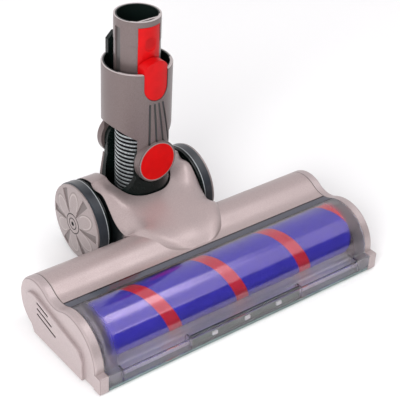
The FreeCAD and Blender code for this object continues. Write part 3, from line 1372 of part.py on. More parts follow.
def plug_block():
    # Connector behind the spigot: narrow in the collar, wide above it, two contact slots on top.
    near = AXLE_Y + PLUG_FRONT
    far = near + PLUG_DEPTH
    half = PLUG_HALF_WIDTH
    wing = block(-half, half, near, far, PLUG_WING_Z, PLUG_TOP_Z)
    at_top = [e for e in wing.Edges if all(abs(v.Z - PLUG_TOP_Z) < 1e-3 for v in e.Vertexes)]
    across = [e for e in at_top if e.BoundBox.YLength > PLUG_DEPTH / 2]
    wing = wing.makeChamfer(PLUG_CHAMFER, across)
    foot_half = PLUG_FOOT_HALF_WIDTH
    stem = block(-foot_half, foot_half, near, far, FLANGE_Z + FLANGE_WALL, PLUG_WING_Z)
    return wing.fuse(stem).cut(contact_slots(CONTACT_WIDTH + 2 * PLAY, CONTACT_WALL + 2 * PLAY, PLUG_TOP_Z))


def plug_contacts():
    return Part.makeCompound(contact_slots(CONTACT_WIDTH, CONTACT_WALL, PLUG_TOP_Z - CONTACT_WALL))


PIECES = {
    "upper_housing": upper_housing,
    "lower_chassis": lower_chassis,
    "duct_lid": duct_lid,
    "left_end_cap": left_end_cap,
    "right_end_cap": right_end_cap,
    "clear_cover": clear_cover,
    "front_lip": front_lip,
    "front_lights": front_lights,
    "light_board": light_board,
    "roller_plush": roller_plush,
    "roller_stripe": roller_stripe,
    "roller_core": roller_core,
    "roller_pulley": roller_pulley,
    "drive_bearing": drive_bearing,
    "end_bearing": end_bearing,
    "drive_motor": drive_motor,
    "motor_pulley": motor_pulley,
    "drive_belt": drive_belt,
    "control_board": control_board,
    "left_tyre": left_tyre,
    "right_tyre": right_tyre,
    "left_hub": left_hub,
    "right_hub": right_hub,
    "left_hubcap": left_hubcap,
    "right_hubcap": right_hubcap,
    "left_axle": left_axle,
    "right_axle": right_axle,
    "left_bush": left_bush,
    "right_bush": right_bush,
    "yoke": yoke,
    "yoke_rear_cover": yoke_rear_cover,
    "hose": hose,
    "hose_foot_cuff": hose_foot_cuff,
    "hose_top_cuff": hose_top_cuff,
    "collar": collar,
    "spigot": spigot,
    "release_button": release_button,
    "button_pin": button_pin,
    "button_spring": button_spring,
    "front_pivot_cap": front_pivot_cap,
    "rear_pivot_cap": rear_pivot_cap,
    "front_pivot_pin": front_pivot_pin,
    "rear_pivot_pin": rear_pivot_pin,
    "plug_block": plug_block,
    "plug_contacts": plug_contacts,
    "left_sole_roller": left_sole_roller,
    "right_sole_roller": right_sole_roller,
    "sole_roller_pins": sole_roller_pins,
    "sole_strip": sole_strip,
    "sole_screws": sole_screws,
}

os.makedirs("parts", exist_ok=True)
for name, make in PIECES.items():
    make().exportStep("parts/" + name + ".step")
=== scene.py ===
import json
import math

import bmesh
import bpy
from mathutils import Matrix, Vector, noise


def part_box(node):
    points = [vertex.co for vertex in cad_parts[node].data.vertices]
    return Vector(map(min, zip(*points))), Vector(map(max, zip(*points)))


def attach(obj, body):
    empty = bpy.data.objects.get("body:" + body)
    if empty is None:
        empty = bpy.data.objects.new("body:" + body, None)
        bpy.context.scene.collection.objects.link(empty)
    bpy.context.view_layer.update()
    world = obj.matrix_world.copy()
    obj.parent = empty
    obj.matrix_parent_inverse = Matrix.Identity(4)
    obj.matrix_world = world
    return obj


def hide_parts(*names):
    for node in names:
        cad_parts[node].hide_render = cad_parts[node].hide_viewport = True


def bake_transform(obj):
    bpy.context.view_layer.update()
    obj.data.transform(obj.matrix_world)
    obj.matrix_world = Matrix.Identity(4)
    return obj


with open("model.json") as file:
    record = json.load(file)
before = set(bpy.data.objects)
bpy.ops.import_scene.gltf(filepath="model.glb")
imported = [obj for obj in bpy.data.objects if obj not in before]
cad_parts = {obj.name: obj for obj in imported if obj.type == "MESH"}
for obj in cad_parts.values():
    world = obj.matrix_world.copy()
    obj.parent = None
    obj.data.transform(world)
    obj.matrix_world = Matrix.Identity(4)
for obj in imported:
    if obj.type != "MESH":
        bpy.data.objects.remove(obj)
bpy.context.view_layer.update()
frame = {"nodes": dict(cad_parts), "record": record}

MM = 0.001
TURN = 2 * math.pi
SLOTS = {part["node"]: part["material_slot"] for part in frame["record"]["subparts"]}

# The axes that the pieces made here are built round, in metres.
ROLLER_Y, ROLLER_Z = -0.0493, 0.0207
NECK_Y = 0.0547

# The roller's pile, in metres: its sleeve and the red band that winds round it. It is laid in small cells,
# and a cell whose middle lies past an end by less than a share of itself is still laid.
PILE_R = 20.3 * MM
PILE_FOOT_R = 17.6 * MM
PILE_LEFT = -106.0 * MM
PILE_RIGHT = 111.6 * MM
PILE_END_ROUND = 1.4 * MM
PILE_CELL = 0.75 * MM
PILE_ROWS = 168
PILE_WELD = 0.02 * MM
STRIPE_PITCH = 59.5 * MM
STRIPE_WIDTH = 11.0 * MM
STRIPE_START = -16.2 * MM
WINDINGS = range(-4, 4)
PAST_END_SHARE = 0.6

# The pile's nap: how deep it is and how far it is sunk, then a fine and a coarse grain, each with its
# length along the roller, how many of its grains the roller's radius takes in, and its share of the depth.
NAP_DEPTH = 0.28 * MM
NAP_SINK = 0.16 * MM
NAP_GRAINS = ((1.6 * MM, 12.0, 0.6), (7.0 * MM, 2.6, 0.5))

# The ribbed hose inside the neck, in metres, and the shape of a rib: its points, how full its round is, the
# half width of its foot as a share of the pitch, and the share of its height from which it is painted bright
# as a highlight.
HOSE_LOW = 47.0 * MM
HOSE_HIGH = 100.0 * MM
HOSE_CREST_R = 15.9 * MM
HOSE_ROOT_R = 14.1 * MM
HOSE_BORE_R = 12.9 * MM
HOSE_RIBS = 16
HOSE_STEPS = 96
RIB_POINTS = 8
RIB_FULLNESS = 0.6
RIB_HALF_FOOT = 0.36
RIB_HIGHLIGHT = (0.72, 1.0)

# The button's leaf spring: its thickness and the length of its two flat ends.
LEAF_WALL = 0.5 * MM
LEAF_FLAT = 2.5 * MM

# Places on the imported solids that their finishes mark, in millimetres. Two numbers are where a mark fades
# in: nought at the first, one at the second. Three are where it starts and ends, and how soft its edges are.
# Those named FACING are shares of the way that a surface faces.

# The hubcaps: their axis, the gaps between the petals, with the half width and radius at foot and tip, the
# ellipse that each petal fills, the line and the lip round it as shares of that ellipse and where they
# start, the two rings and the hole.
WHEEL_Y, WHEEL_Z = 54.7, 30.8
PETALS = 6
GAP_FOOT, GAP_FOOT_R = 0.5, 9.0
GAP_TIP, GAP_TIP_R = 3.4, 27.5
GAP_SIDE, GAP_SOFT = (-0.1, 0.5), 0.6
PETAL_MIDDLE, PETAL_HALF_LONG, PETAL_HALF_WIDE = 17.0, 9.6, 6.3
PETAL_LINE, PETAL_LINE_R = (0.9, 1.02, 0.06), (10.5, 13.0)
PETAL_LIP, PETAL_LIP_R = (0.74, 0.86, 0.06), (12.0, 15.0)
HUB_RINGS = ((4.1, 4.9, 0.15), (7.6, 8.4, 0.15))
HUB_HOLE_R = (2.0, 1.7)

# The tyres, from the middle of the head: the wall inside them, painted black, and the painted highlight
# line at their inner edge.
TYRE_WALL_X = (44.7, 44.3)
TYRE_HIGHLIGHT_X = (44.5, 45.1, 0.1)

# The housing's walls beside the wheels.
WELL_FACING = (0.8, 0.92)
WELL_Y = (9.0, 15.0)

# The end caps: their rims, the seam beside the housing, the crease round the face, and the vent slots,
# which slope.
CAP_RIM_FACING = (0.75, 0.6)
CAP_SEAM_X = (118.0, 117.8)
CAP_CREASE_X = (124.35, 124.75, 0.12)
VENT_X = (-127.1, -122.0, 0.1)
VENT_Y = (-38.0, -11.0, 0.2)
VENT_LEVEL = (20.3, 32.7, 0.1)
VENT_SLOPE, VENT_LEVEL_Y = 0.2, -12.0

# The roller chamber's end walls in the chassis, which carry a painted haze.
CHAMBER_END_X = (111.5, 112.0)
CHAMBER_REAR_Y = (-27.0, -29.0)

# The clear cover: the flange at its rear, the way that it faces and how much light it holds back, the step
# before it, the rear edge, measured from the cover's end, and its two ends, with how rough it is between
# them and at them.
FLANGE_Y = (-40.3, -39.5)
FLANGE_FACING = (0.0, -0.15, 0.985)
FLANGE_CLOUD = 0.55
COVER_STEP_Y = (-40.5, -39.5, 0.2)
COVER_REAR_EDGE = (-1.6, -1.2)
COVER_END_X = (104.0, 110.0)
COVER_ROUGHNESS = (0.09, 0.42)

# The neck, from its own axis: the lined faces that look in; the rims of the spigot and the collar, lined on
# their inner half, and with a painted highlight on their outer half and all over before a line across the
# front; the floors of the flutes and of the keyway, in painted shade.
LINED_FACING, LINED_Z = (-0.35, -0.55), (96.0, 100.0)
OUTWARD_FACING = (0.3, 0.5)
LEAST_R = 0.1
RIM_FACING, RIM_Z = (0.5, 0.8), (140.0, 145.0)
LINING = "#0e1715"
RIM_LININGS = ((14.0, 15.9, 0.1), (22.0, 24.7, 0.1))
RIM_EDGES = ((15.9, 17.3, 0.1), (24.7, 26.2, 0.1))
RIM_BEHIND_Y, RIM_BEFORE_Y = (-9.2, -8.8), (-9.0, -9.3)
FLUTE_R, FLUTE_Z = (24.6, 25.72, 0.06), (90.0, 128.0, 0.5)
KEYWAY_R, KEYWAY_FACING = (15.2, 16.5, 0.2), (0.5, 0.3)

# The front pivot's cap: the height of its middle and the radii of its grey edge. The painted shade in the
# hollow on the button's strip, likewise.
PIVOT_Z = 80.0
CAP_RING_R = (14.7, 14.9)
HOLLOW_Z = 170.6
HOLLOW_R = (6.1, 2.6)

# The fairing over the motor hump: its half width, where its nose starts and how long it is, the hump under
# it, and how far its shoulders are drawn down. The curve keeps the drop off the middle, and each pair fades
# it in.
FAIRING_HALF = 40.0
NOSE_Y, NOSE_LONG = 28.0, 60.0
HUMP_Y, HUMP_Z, HUMP_R = -6.8, 22.9, 22.0
SHOULDER_DROP = 6.8
SHOULDER_CURVE = 4.0
SHOULDER_SIDE = (1.07, 1.04)
SHOULDER_FRONT_Y = (-2.0, 14.0)
SHOULDER_REAR_Y = (46.0, 22.0)
SHOULDER_OVER_HUMP = (0.5, 6.0)
SHOULDER_Z = (28.0, 42.0)

# The photograph's viewpoint: where the camera stands, in metres, how far it is turned, tipped and rolled,
# in degrees, and its lens and sensor, in millimetres.
CAMERA_PLACE = (-0.43822, -0.56603, 0.534266)
CAMERA_TURN, CAMERA_TIP, CAMERA_ROLL = 38.98471, 33.41445, 2.8189
CAMERA_LENS, CAMERA_SENSOR = 106.411, 36.0
CAMERA_NEAR = 0.05
FLOOR_HALF = 6.0

# The studio: the side on which the room is white, where the white starts, and how bright its dark side and
# its white are. Then the soft light at the left: where it stands and aims, its size and its power.
ROOM_SIDE = (0.0, 0.7, 0.72)
ROOM_EDGE = (-0.06, 0.04)
ROOM_DARK = 0.12
ROOM_LIGHT = 0.86
BOX_PLACE = (-1.25, -0.95, 0.8)
BOX_AIM = (0, 0, 0.06)
BOX_SIZE = 0.9
BOX_POWER = 30.0

# The room's soft screens, by degrees of tip from overhead towards the front and by how far they reach to
# the right (the sine of the way out): first and last tip, softness at each, left and right reach, softness
# there, brightness.
SCREENS = (
    (8.0, 50.0, 3.0, 1.2, 0.30, 0.80, 0.04, 0.75),
    (-6.0, 14.0, 3.0, 10.0, 0.30, 0.51, 0.06, 4.4),
    (45.5, 50.0, 2.0, 1.2, 0.30, 0.50, 0.05, 2.2),
)


# Small tools for the finishes.


def rgb(code):
    """A colour given as sRGB hex, turned to the linear values that Blender uses."""
    parts = [int(code[i:i + 2], 16) / 255 for i in (1, 3, 5)]
    return tuple(c / 12.92 if c <= 0.04045 else ((c + 0.055) / 1.055) ** 2.4 for c in parts) + (1.0,)


def add(tree, kind, settings=None, inputs=None):
    """Adds a node with its settings; each input is a value or another node's output."""
    node = tree.nodes.new(kind)
    for name, value in (settings or {}).items():
        setattr(node, name, value)
    for name, value in (inputs or {}).items():
        if isinstance(value, bpy.types.NodeSocket):
            tree.links.new(value, node.inputs[name])
        else:
            node.inputs[name].default_value = value
    return node


def new_finish(name):
    """An empty material and the place on the object that its patterns follow."""
    material = bpy.data.materials.new(name)
    material.use_nodes = True
    tree = material.node_tree
    tree.nodes.clear()
    place = add(tree, "ShaderNodeTexCoord").outputs["Object"]
    return material, tree, place


def close(tree, inputs):
    """Ends a material with its shader and output."""
    shader = add(tree, "ShaderNodeBsdfPrincipled", inputs=inputs)
    add(tree, "ShaderNodeOutputMaterial", inputs={"Surface": shader.outputs["BSDF"]})


def mottle(tree, place, size_mm, detail=2.0):
    """Soft noise whose spots are about size_mm across."""
    return add(tree, "ShaderNodeTexNoise", inputs={
        "Vector": place, "Scale": 1 / (size_mm * MM), "Detail": detail}).outputs["Fac"]


def between(tree, factor, low, high):
    """A colour that runs from low to high as the factor runs from 0.3 to 0.7, where noise lives."""
    ramp = add(tree, "ShaderNodeValToRGB", inputs={"Fac": factor})
    for element, position, colour in zip(ramp.color_ramp.elements, (0.3, 0.7), (low, high)):
        element.position, element.color = position, rgb(colour)
    return ramp.outputs["Color"]


def spread(tree, factor, low, high):
    """A number that runs from low to high as the factor runs from 0.3 to 0.7."""
    return ramp_of(tree, factor, (0.3, 0.7), (low, high))


def ramp_of(tree, value, reach, result):
    """A number that runs over the result's pair as the value runs over the reach's pair."""
    return add(tree, "ShaderNodeMapRange", inputs={
        "Value": value, "From Min": reach[0], "From Max": reach[1],
        "To Min": result[0], "To Max": result[1]}).outputs["Result"]


def relief(tree, height, depth_mm, strength=1.0, edge_mm=0.0):
    """The normal of a surface with a fine relief, on edges rounded by edge_mm where that is given."""
    inputs = {"Height": height, "Distance": depth_mm * MM, "Strength": strength}
    if edge_mm:
        bevel = add(tree, "ShaderNodeBevel", {"samples": 4}, {"Radius": edge_mm * MM})
        inputs["Normal"] = bevel.outputs["Normal"]
    return add(tree, "ShaderNodeBump", inputs=inputs).outputs["Normal"]


def maths(tree, kind, *values):
    """The result of one sum on numbers or other nodes' outputs."""
    return add(tree, "ShaderNodeMath", {"operation": kind}, dict(enumerate(values))).outputs[0]


def distance(tree, a, b):
    """How far a place lies from an axis, by its two measures across that axis."""
    squares = maths(tree, "ADD", maths(tree, "MULTIPLY", a, a), maths(tree, "MULTIPLY", b, b))
    return maths(tree, "SQRT", squares)


def step_up(tree, value, low, high):
    """Nought below low, one above high, a soft step between; the other way round where high is the less."""
    return add(tree, "ShaderNodeMapRange", {"interpolation_type": "SMOOTHSTEP"}, {
        "Value": value, "From Min": low, "From Max": high}).outputs["Result"]


def within(tree, value, low, high, soft):
    """One where a value lies between low and high, nought outside, with soft edges."""
    rise = step_up(tree, value, low - soft, low + soft)
    return maths(tree, "MULTIPLY", rise, step_up(tree, value, high + soft, high - soft))


def within_either(tree, value, first, second):
    """One where a value lies in the first or the second of two spans that don't meet."""
    return maths(tree, "ADD", within(tree, value, *first), within(tree, value, *second))


def all_of(tree, *masks):
    """One where every mask is one."""
    mask = masks[0]
    for other in masks[1:]:
        mask = maths(tree, "MULTIPLY", mask, other)
    return mask


def parts_of(tree, vector):
    """A vector's x, y and z."""
    parts = add(tree, "ShaderNodeSeparateXYZ", inputs={"Vector": vector}).outputs
    return parts["X"], parts["Y"], parts["Z"]


def coordinates(tree, place):
    """The object's own x, y and z in millimetres."""
    scaled = add(tree, "ShaderNodeVectorMath", {"operation": "SCALE"}, {0: place, "Scale": 1 / MM})
    return parts_of(tree, scaled.outputs["Vector"])


def facing(tree):
    """The x, y and z of the way that the surface faces, in the object's own axes."""
    way = add(tree, "ShaderNodeNewGeometry").outputs["Normal"]
    own = add(tree, "ShaderNodeVectorTransform", {
        "vector_type": "NORMAL", "convert_from": "WORLD", "convert_to": "OBJECT"}, {"Vector": way})
    return parts_of(tree, own.outputs["Vector"])


def mark(tree, colour, strength, *masks):
    """A mark for a finish: where every mask is one, and the colour, laid on at this strength."""
    return all_of(tree, *masks, strength), colour


def marked(tree, shade, marks):
    """A colour with marks laid over it, each where it lies and its own colour."""
    for mask, colour in marks:
        shade = add(tree, "ShaderNodeMix", {"data_type": "RGBA"}, {
            "Factor": mask, 6: shade, 7: rgb(colour)}).outputs[2]
    return shade


def bare(tree, metal, marks):
    """A share of metal that is left only where no mark lies."""
    for mask, _ in marks:
        metal = maths(tree, "MULTIPLY", metal, maths(tree, "SUBTRACT", 1.0, mask))
    return metal


# The marks that single pieces carry over their finish.


def no_marks(tree, place):
    """A piece without marks."""
    return []


def wheel_wells(tree, place):
    """The housing's walls beside the wheels, behind the fairing's flanks, painted black where they face
    sideways.
    """
    across, level = facing(tree)[0], coordinates(tree, place)[1]
    side = step_up(tree, maths(tree, "ABSOLUTE", across), *WELL_FACING)
    # Painted black on the housing where it faces sideways towards the wheels.
    return [mark(tree, "#0b0f10", 1.0, side, step_up(tree, level, *WELL_Y))]


def cap_lines(tree, place):
    """The dark seam beside the housing, painted shade along the fine crease where each end cap's rim meets its
    face, and painted shade in the depth of the vent slots."""
    x, y, z = coordinates(tree, place)
    out = maths(tree, "ABSOLUTE", x)
    rim = step_up(tree, maths(tree, "ABSOLUTE", facing(tree)[0]), *CAP_RIM_FACING)
    back = maths(tree, "SUBTRACT", y, VENT_LEVEL_Y)
    level = maths(tree, "SUBTRACT", z, maths(tree, "MULTIPLY", back, VENT_SLOPE))
    slots = (within(tree, y, *VENT_Y), within(tree, level, *VENT_LEVEL), within(tree, x, *VENT_X))
    return [
        mark(tree, "#2e2727", 0.85, step_up(tree, out, *CAP_SEAM_X), rim),
        # Painted shade along the crease, then painted shade in the vent slots.
        mark(tree, "#5a4e4e", 0.55, within(tree, out, *CAP_CREASE_X)),
        mark(tree, "#0c0b0b", 1.0, *slots),
    ]


def painted_haze_on_chamber_ends(tree, place):
    """Painted light on the roller chamber's end walls: grey laid on the black where they show through both
    ends of the clear cover, for the haze of the lit cover there.
    """
    x, y, _ = coordinates(tree, place)
    ends = step_up(tree, maths(tree, "ABSOLUTE", x), *CHAMBER_END_X)
    # Painted haze: grey over the black chassis at the chamber's ends.
    return [mark(tree, "#8b8794", 1.0, ends, step_up(tree, y, *CHAMBER_REAR_Y))]


def wheel_face(tree, place):
    """The hubcap's petals: painted shade in the gaps between them, a painted highlight on the lip and a
    painted shadow line round each one, and painted shade in the two rings and the hole in the middle."""
    _, y, z = coordinates(tree, place)
    y = maths(tree, "SUBTRACT", y, WHEEL_Y)
    z = maths(tree, "SUBTRACT", z, WHEEL_Z)
    radius = distance(tree, y, z)
    half = math.pi / PETALS
    turn = maths(tree, "PINGPONG", maths(tree, "ARCTAN2", y, z), half)
    from_gap = maths(tree, "MULTIPLY", radius, maths(tree, "SINE", maths(tree, "SUBTRACT", half, turn)))
    slope = (GAP_TIP - GAP_FOOT) / (GAP_TIP_R - GAP_FOOT_R)
    wide = maths(tree, "MULTIPLY_ADD", radius, slope, GAP_FOOT - slope * GAP_FOOT_R)
    gap = step_up(tree, maths(tree, "SUBTRACT", wide, from_gap), *GAP_SIDE)
    along = maths(tree, "MULTIPLY", radius, maths(tree, "COSINE", turn))
    along = maths(tree, "DIVIDE", maths(tree, "SUBTRACT", along, PETAL_MIDDLE), PETAL_HALF_LONG)
    across = maths(tree, "MULTIPLY", radius, maths(tree, "SINE", turn))
    reach = distance(tree, along, maths(tree, "DIVIDE", across, PETAL_HALF_WIDE))
    # Painted shade in the gaps, the rings and the hole; a painted highlight on each petal's lip and a painted
    # shadow line round it.
    return [
        mark(tree, "#544a49", 0.8, gap, within(tree, radius, GAP_FOOT_R, GAP_TIP_R, GAP_SOFT)),
        mark(tree, "#c9bdb9", 0.4, within(tree, reach, *PETAL_LIP), step_up(tree, radius, *PETAL_LIP_R)),
        mark(tree, "#5c5150", 0.5, within(tree, reach, *PETAL_LINE), step_up(tree, radius, *PETAL_LINE_R)),
        mark(tree, "#2b2525", 1.0, within_either(tree, radius, *HUB_RINGS)),
        mark(tree, "#060505", 1.0, step_up(tree, radius, *HUB_HOLE_R)),
    ]


def tyre_edge(tree, place):
    """A painted highlight line at the tyre's inner edge, and the wall inside it painted black."""
    out = maths(tree, "ABSOLUTE", coordinates(tree, place)[0])
    # The wall inside is painted black; the line at the inner edge is a painted highlight.
    return [
        mark(tree, "#07090b", 1.0, step_up(tree, out, *TYRE_WALL_X)),
        mark(tree, "#b4babd", 0.8, within(tree, out, *TYRE_HIGHLIGHT_X)),
    ]


def neck_shades(tree, place):
    """The neck's dark lining on the faces that look in and on the inner half of each rim, a painted highlight
    along the rims, and painted shade on the floors of the flutes and the keyway."""
    x, y, z = coordinates(tree, place)
    y = maths(tree, "SUBTRACT", y, WHEEL_Y)
    radius = distance(tree, x, y)
    face_x, face_y, face_z = facing(tree)
    outward = maths(tree, "ADD", maths(tree, "MULTIPLY", x, face_x), maths(tree, "MULTIPLY", y, face_y))
    outward = maths(tree, "DIVIDE", outward, maths(tree, "MAXIMUM", radius, LEAST_R))
    turned_out = step_up(tree, outward, *OUTWARD_FACING)
    rims = all_of(tree, step_up(tree, face_z, *RIM_FACING), step_up(tree, z, *RIM_Z))
    outer_rim = within_either(tree, radius, *RIM_EDGES)
    pale = maths(tree, "MAXIMUM", outer_rim, step_up(tree, y, *RIM_BEFORE_Y))
    flutes = (within(tree, radius, *FLUTE_R), within(tree, z, *FLUTE_Z), turned_out)
    keyway = (within(tree, radius, *KEYWAY_R), turned_out, step_up(tree, face_z, *KEYWAY_FACING))
    # The rims' pale line is a painted highlight; the flutes' and the keyway's floors are painted shade.
    return [
        mark(tree, LINING, 1.0, step_up(tree, outward, *LINED_FACING), step_up(tree, z, *LINED_Z)),
        mark(tree, LINING, 1.0, rims, step_up(tree, y, *RIM_BEHIND_Y),
             within_either(tree, radius, *RIM_LININGS)),
        mark(tree, "#cfc6c5", 0.7, rims, pale),
        mark(tree, "#2a2b2a", 1.0, *flutes),
        mark(tree, "#3a3938", 0.8, *keyway),
    ]


def cap_ring(tree, place):
    """The thin grey edge round the red disc on the neck's front pivot."""
    x, _, z = coordinates(tree, place)
    radius = distance(tree, x, maths(tree, "SUBTRACT", z, PIVOT_Z))
    return [mark(tree, "#8d8281", 1.0, step_up(tree, radius, *CAP_RING_R))]


def button_hollow(tree, place):
    """Painted shade in the soft round hollow on the button's strip."""
    x, _, z = coordinates(tree, place)
    radius = distance(tree, x, maths(tree, "SUBTRACT", z, HOLLOW_Z))
    # Painted shade: a darker red inside the hollow.
    return [mark(tree, "#9c0004", 0.6, step_up(tree, radius, *HOLLOW_R))]


# The finishes, each named for the real material and how it is made.


def mica_abs(name, low, high, marks=no_marks, rough=(0.33, 0.4)):
    """Mica-filled ABS, moulded with a satin grain: a warm metallic sheen that spreads each highlight, and a
    faint sparkle. The flakes are drawn 0.6 mm across, coarser than the real 0.05 mm, so that they show."""
    material, tree, place = new_finish(name)
    flakes = mottle(tree, place, 0.6, 1.0)
    clouds = mottle(tree, place, 22.0)
    laid = marks(tree, place)
    close(tree, {
        "Base Color": marked(tree, between(tree, flakes, low, high), laid),
        "Metallic": bare(tree, 0.35, laid),
        "Roughness": spread(tree, clouds, *rough),
        "IOR": 1.53,
        "Coat Weight": 0.12,
        "Coat Roughness": 0.25,
        "Normal": relief(tree, flakes, depth_mm=0.012, strength=0.5, edge_mm=0.45),
    })
    return material


def gloss_black_abs(name, marks=no_marks):
    """Black ABS from a polished mould: deep black with narrow clear reflections and a trace of flow waves."""
    material, tree, place = new_finish(name)
    waves = mottle(tree, place, 14.0)
    close(tree, {
        "Base Color": marked(tree, between(tree, waves, "#060d0c", "#0a1412"), marks(tree, place)),
        "Roughness": spread(tree, mottle(tree, place, 5.0), 0.2, 0.3),
        "IOR": 1.53,
        "Specular IOR Level": 0.3,
        "Normal": relief(tree, waves, depth_mm=0.05, strength=0.4, edge_mm=0.4),
    })
    return material


def signal_red_abs(name, low, high, marks=no_marks):
    """Red ABS, moulded: strong even red, satin, with a soft edge round each form."""
    material, tree, place = new_finish(name)
    cloud = mottle(tree, place, 8.0)
    close(tree, {
        "Base Color": marked(tree, between(tree, cloud, low, high), marks(tree, place)),
        "Roughness": spread(tree, cloud, 0.36, 0.44),
        "IOR": 1.53,
        "Specular IOR Level": 0.15,
        "Normal": relief(tree, mottle(tree, place, 0.6), depth_mm=0.01, strength=0.4, edge_mm=0.5),
    })
    return material


def filled_nylon(name, low, high):
    """Glass-filled nylon, moulded, or acetal, turned: an even dull surface with a fine grain of short fibres
    or tool marks. The grain is drawn 0.8 mm across, coarser than the real 0.2 mm."""
    material, tree, place = new_finish(name)
    grain = mottle(tree, place, 0.8)
    close(tree, {
        "Base Color": between(tree, grain, low, high),
        "Roughness": spread(tree, grain, 0.45, 0.6),
        "IOR": 1.53,
        "Normal": relief(tree, grain, depth_mm=0.02, strength=0.5, edge_mm=0.3),
    })
    return material


def smoked_polycarbonate():
    """Clear polycarbonate, injection moulded and lightly smoked: it bends and mirrors the light at both
    faces, lets the roller through a little greyed, and has slight moulding waves that sway its highlights.
    Its ends are hazy, and its rear flange is a darker grey between two dark lines."""
    material, tree, place = new_finish("smoked_polycarbonate_clear_moulded")
    waves = mottle(tree, place, 30.0)
    x, y, _ = coordinates(tree, place)
    flange = step_up(tree, y, *FLANGE_Y)
    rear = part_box("clear_cover")[1].y / MM
    rear_edge = step_up(tree, y, rear + COVER_REAR_EDGE[0], rear + COVER_REAR_EDGE[1])
    edges = maths(tree, "ADD", rear_edge, within(tree, y, *COVER_STEP_Y))
    level = add(tree, "ShaderNodeMix", {"data_type": "VECTOR"}, {
        "Factor": flange, 4: relief(tree, waves, depth_mm=0.08, strength=0.25), 5: FLANGE_FACING}).outputs[1]
    clear = between(tree, waves, "#f1eff3", "#f6f4f8")
    close(tree, {
        "Base Color": marked(tree, clear, [(flange, "#5d656f"), (edges, "#15171b")]),
        "Roughness": ramp_of(tree, maths(tree, "ABSOLUTE", x), COVER_END_X, COVER_ROUGHNESS),
        "IOR": 1.585,
        "Specular IOR Level": 0.85,
        "Specular Tint": rgb("#ffecf6"),
        "Transmission Weight": maths(tree, "SUBTRACT", 1.0, maths(tree, "MULTIPLY", flange, FLANGE_CLOUD)),
        "Normal": level,
    })
    return material


def soft_rubber(name, low, high, rough, marks=no_marks):
    """Moulded rubber: a soft satin with a pale bloom in patches and no sharp reflections."""
    material, tree, place = new_finish(name)
    bloom = mottle(tree, place, 6.0)
    grain = mottle(tree, place, 0.7)
    close(tree, {
        "Base Color": marked(tree, between(tree, bloom, low, high), marks(tree, place)),
        "Roughness": spread(tree, grain, rough - 0.04, rough + 0.05),
        "IOR": 1.52,
        "Sheen Weight": 0.25,
        "Sheen Roughness": 0.5,
        "Normal": relief(tree, grain, depth_mm=0.02, strength=0.4, edge_mm=0.3),
    })
    return material


def clear_tpe_lip():
    """Translucent thermoplastic rubber, extruded: grey-green where light goes through it, a waxy gloss."""
    material, tree, place = new_finish("translucent_tpe_extruded")
    haze = mottle(tree, place, 9.0)
    close(tree, {
        "Base Color": between(tree, haze, "#5d706f", "#748785"),
        "Roughness": 0.32,
        "IOR": 1.49,
        "Subsurface Weight": 0.35,
        "Subsurface Radius": (0.003, 0.004, 0.004),
        "Normal": relief(tree, haze, depth_mm=0.03, strength=0.3, edge_mm=0.3),
    })
    return material


def woven_pile(name, low, high):
    """Soft nylon pile, woven and cropped: deep colour between the tufts, a pale velvet sheen where they lie
    away from the eye, and a fine nap. The tufts are drawn 1.1 mm across, about twice the real size."""
    material, tree, place = new_finish(name)
    tufts = mottle(tree, place, 1.1)
    lay = mottle(tree, place, 9.0)
    tuft_share = 0.65
    mixed = maths(tree, "MULTIPLY_ADD", tufts, tuft_share, maths(tree, "MULTIPLY", lay, 1 - tuft_share))
    close(tree, {
        "Base Color": between(tree, mixed, low, high),
        "Roughness": 0.85,
        "IOR": 1.53,
        "Specular IOR Level": 0.25,
        "Sheen Weight": 0.25,
        "Sheen Roughness": 0.4,
        "Sheen Tint": rgb(high),
        "Normal": relief(tree, tufts, depth_mm=0.3, strength=0.6),
    })
    return material


def tpe_hose():
    """Wire-wound TPE hose: each rib's crest painted bright and half-metallic as a highlight, its valleys
    painted black as shade, clouded by a film in patches of 3 mm."""
    material, tree, place = new_finish("tpe_hose_wire_wound_painted_highlights")
    film = mottle(tree, place, 3.0)
    height = add(tree, "ShaderNodeAttribute", {"attribute_name": "crest"}).outputs["Fac"]
    # Painted highlight on the crests, painted shade in the valleys.
    crest = step_up(tree, height, *RIB_HIGHLIGHT)
    shade = add(tree, "ShaderNodeMix", {"data_type": "RGBA"}, {
        "Factor": crest, 6: rgb("#0b0d0e"), 7: between(tree, film, "#9ea4a6", "#b6bbbd")}).outputs[2]
    close(tree, {
        "Base Color": shade,
        "Metallic": maths(tree, "MULTIPLY", crest, 0.7),
        "Roughness": spread(tree, film, 0.2, 0.3),
        "IOR": 1.5,
        "Normal": relief(tree, film, depth_mm=0.03, strength=0.4),
    })
    return material


def bare_metal(name, low, high, size_mm, rough):
    """Bare or plated metal: clear bright reflections, broken by fine marks of the tool or the rolls. They are
    drawn size_mm across, some times coarser than the real ones."""
    material, tree, place = new_finish(name)
    scuffs = mottle(tree, place, size_mm)
    close(tree, {
        "Base Color": between(tree, scuffs, low, high),
        "Metallic": 1.0,
        "Roughness": spread(tree, scuffs, *rough),
        "Normal": relief(tree, scuffs, depth_mm=0.01, strength=0.4, edge_mm=0.2),
    })
    return material


def board_laminate():
    """Glass-epoxy circuit board under green solder mask: smooth, slightly wavy over the weave. The waves are
    drawn 1 mm apart, about twice the real weave."""
    material, tree, place = new_finish("fr4_board_solder_mask")
    weave = add(tree, "ShaderNodeTexWave", {"wave_profile": "SIN"}, {"Vector": place, "Scale": 300.0})
    close(tree, {
        "Base Color": between(tree, mottle(tree, place, 6.0), "#16402c", "#1d4f37"),
        "Roughness": 0.3,
        "IOR": 1.55,
        "Normal": relief(tree, weave.outputs["Fac"], depth_mm=0.02, strength=0.3),
    })
    return material


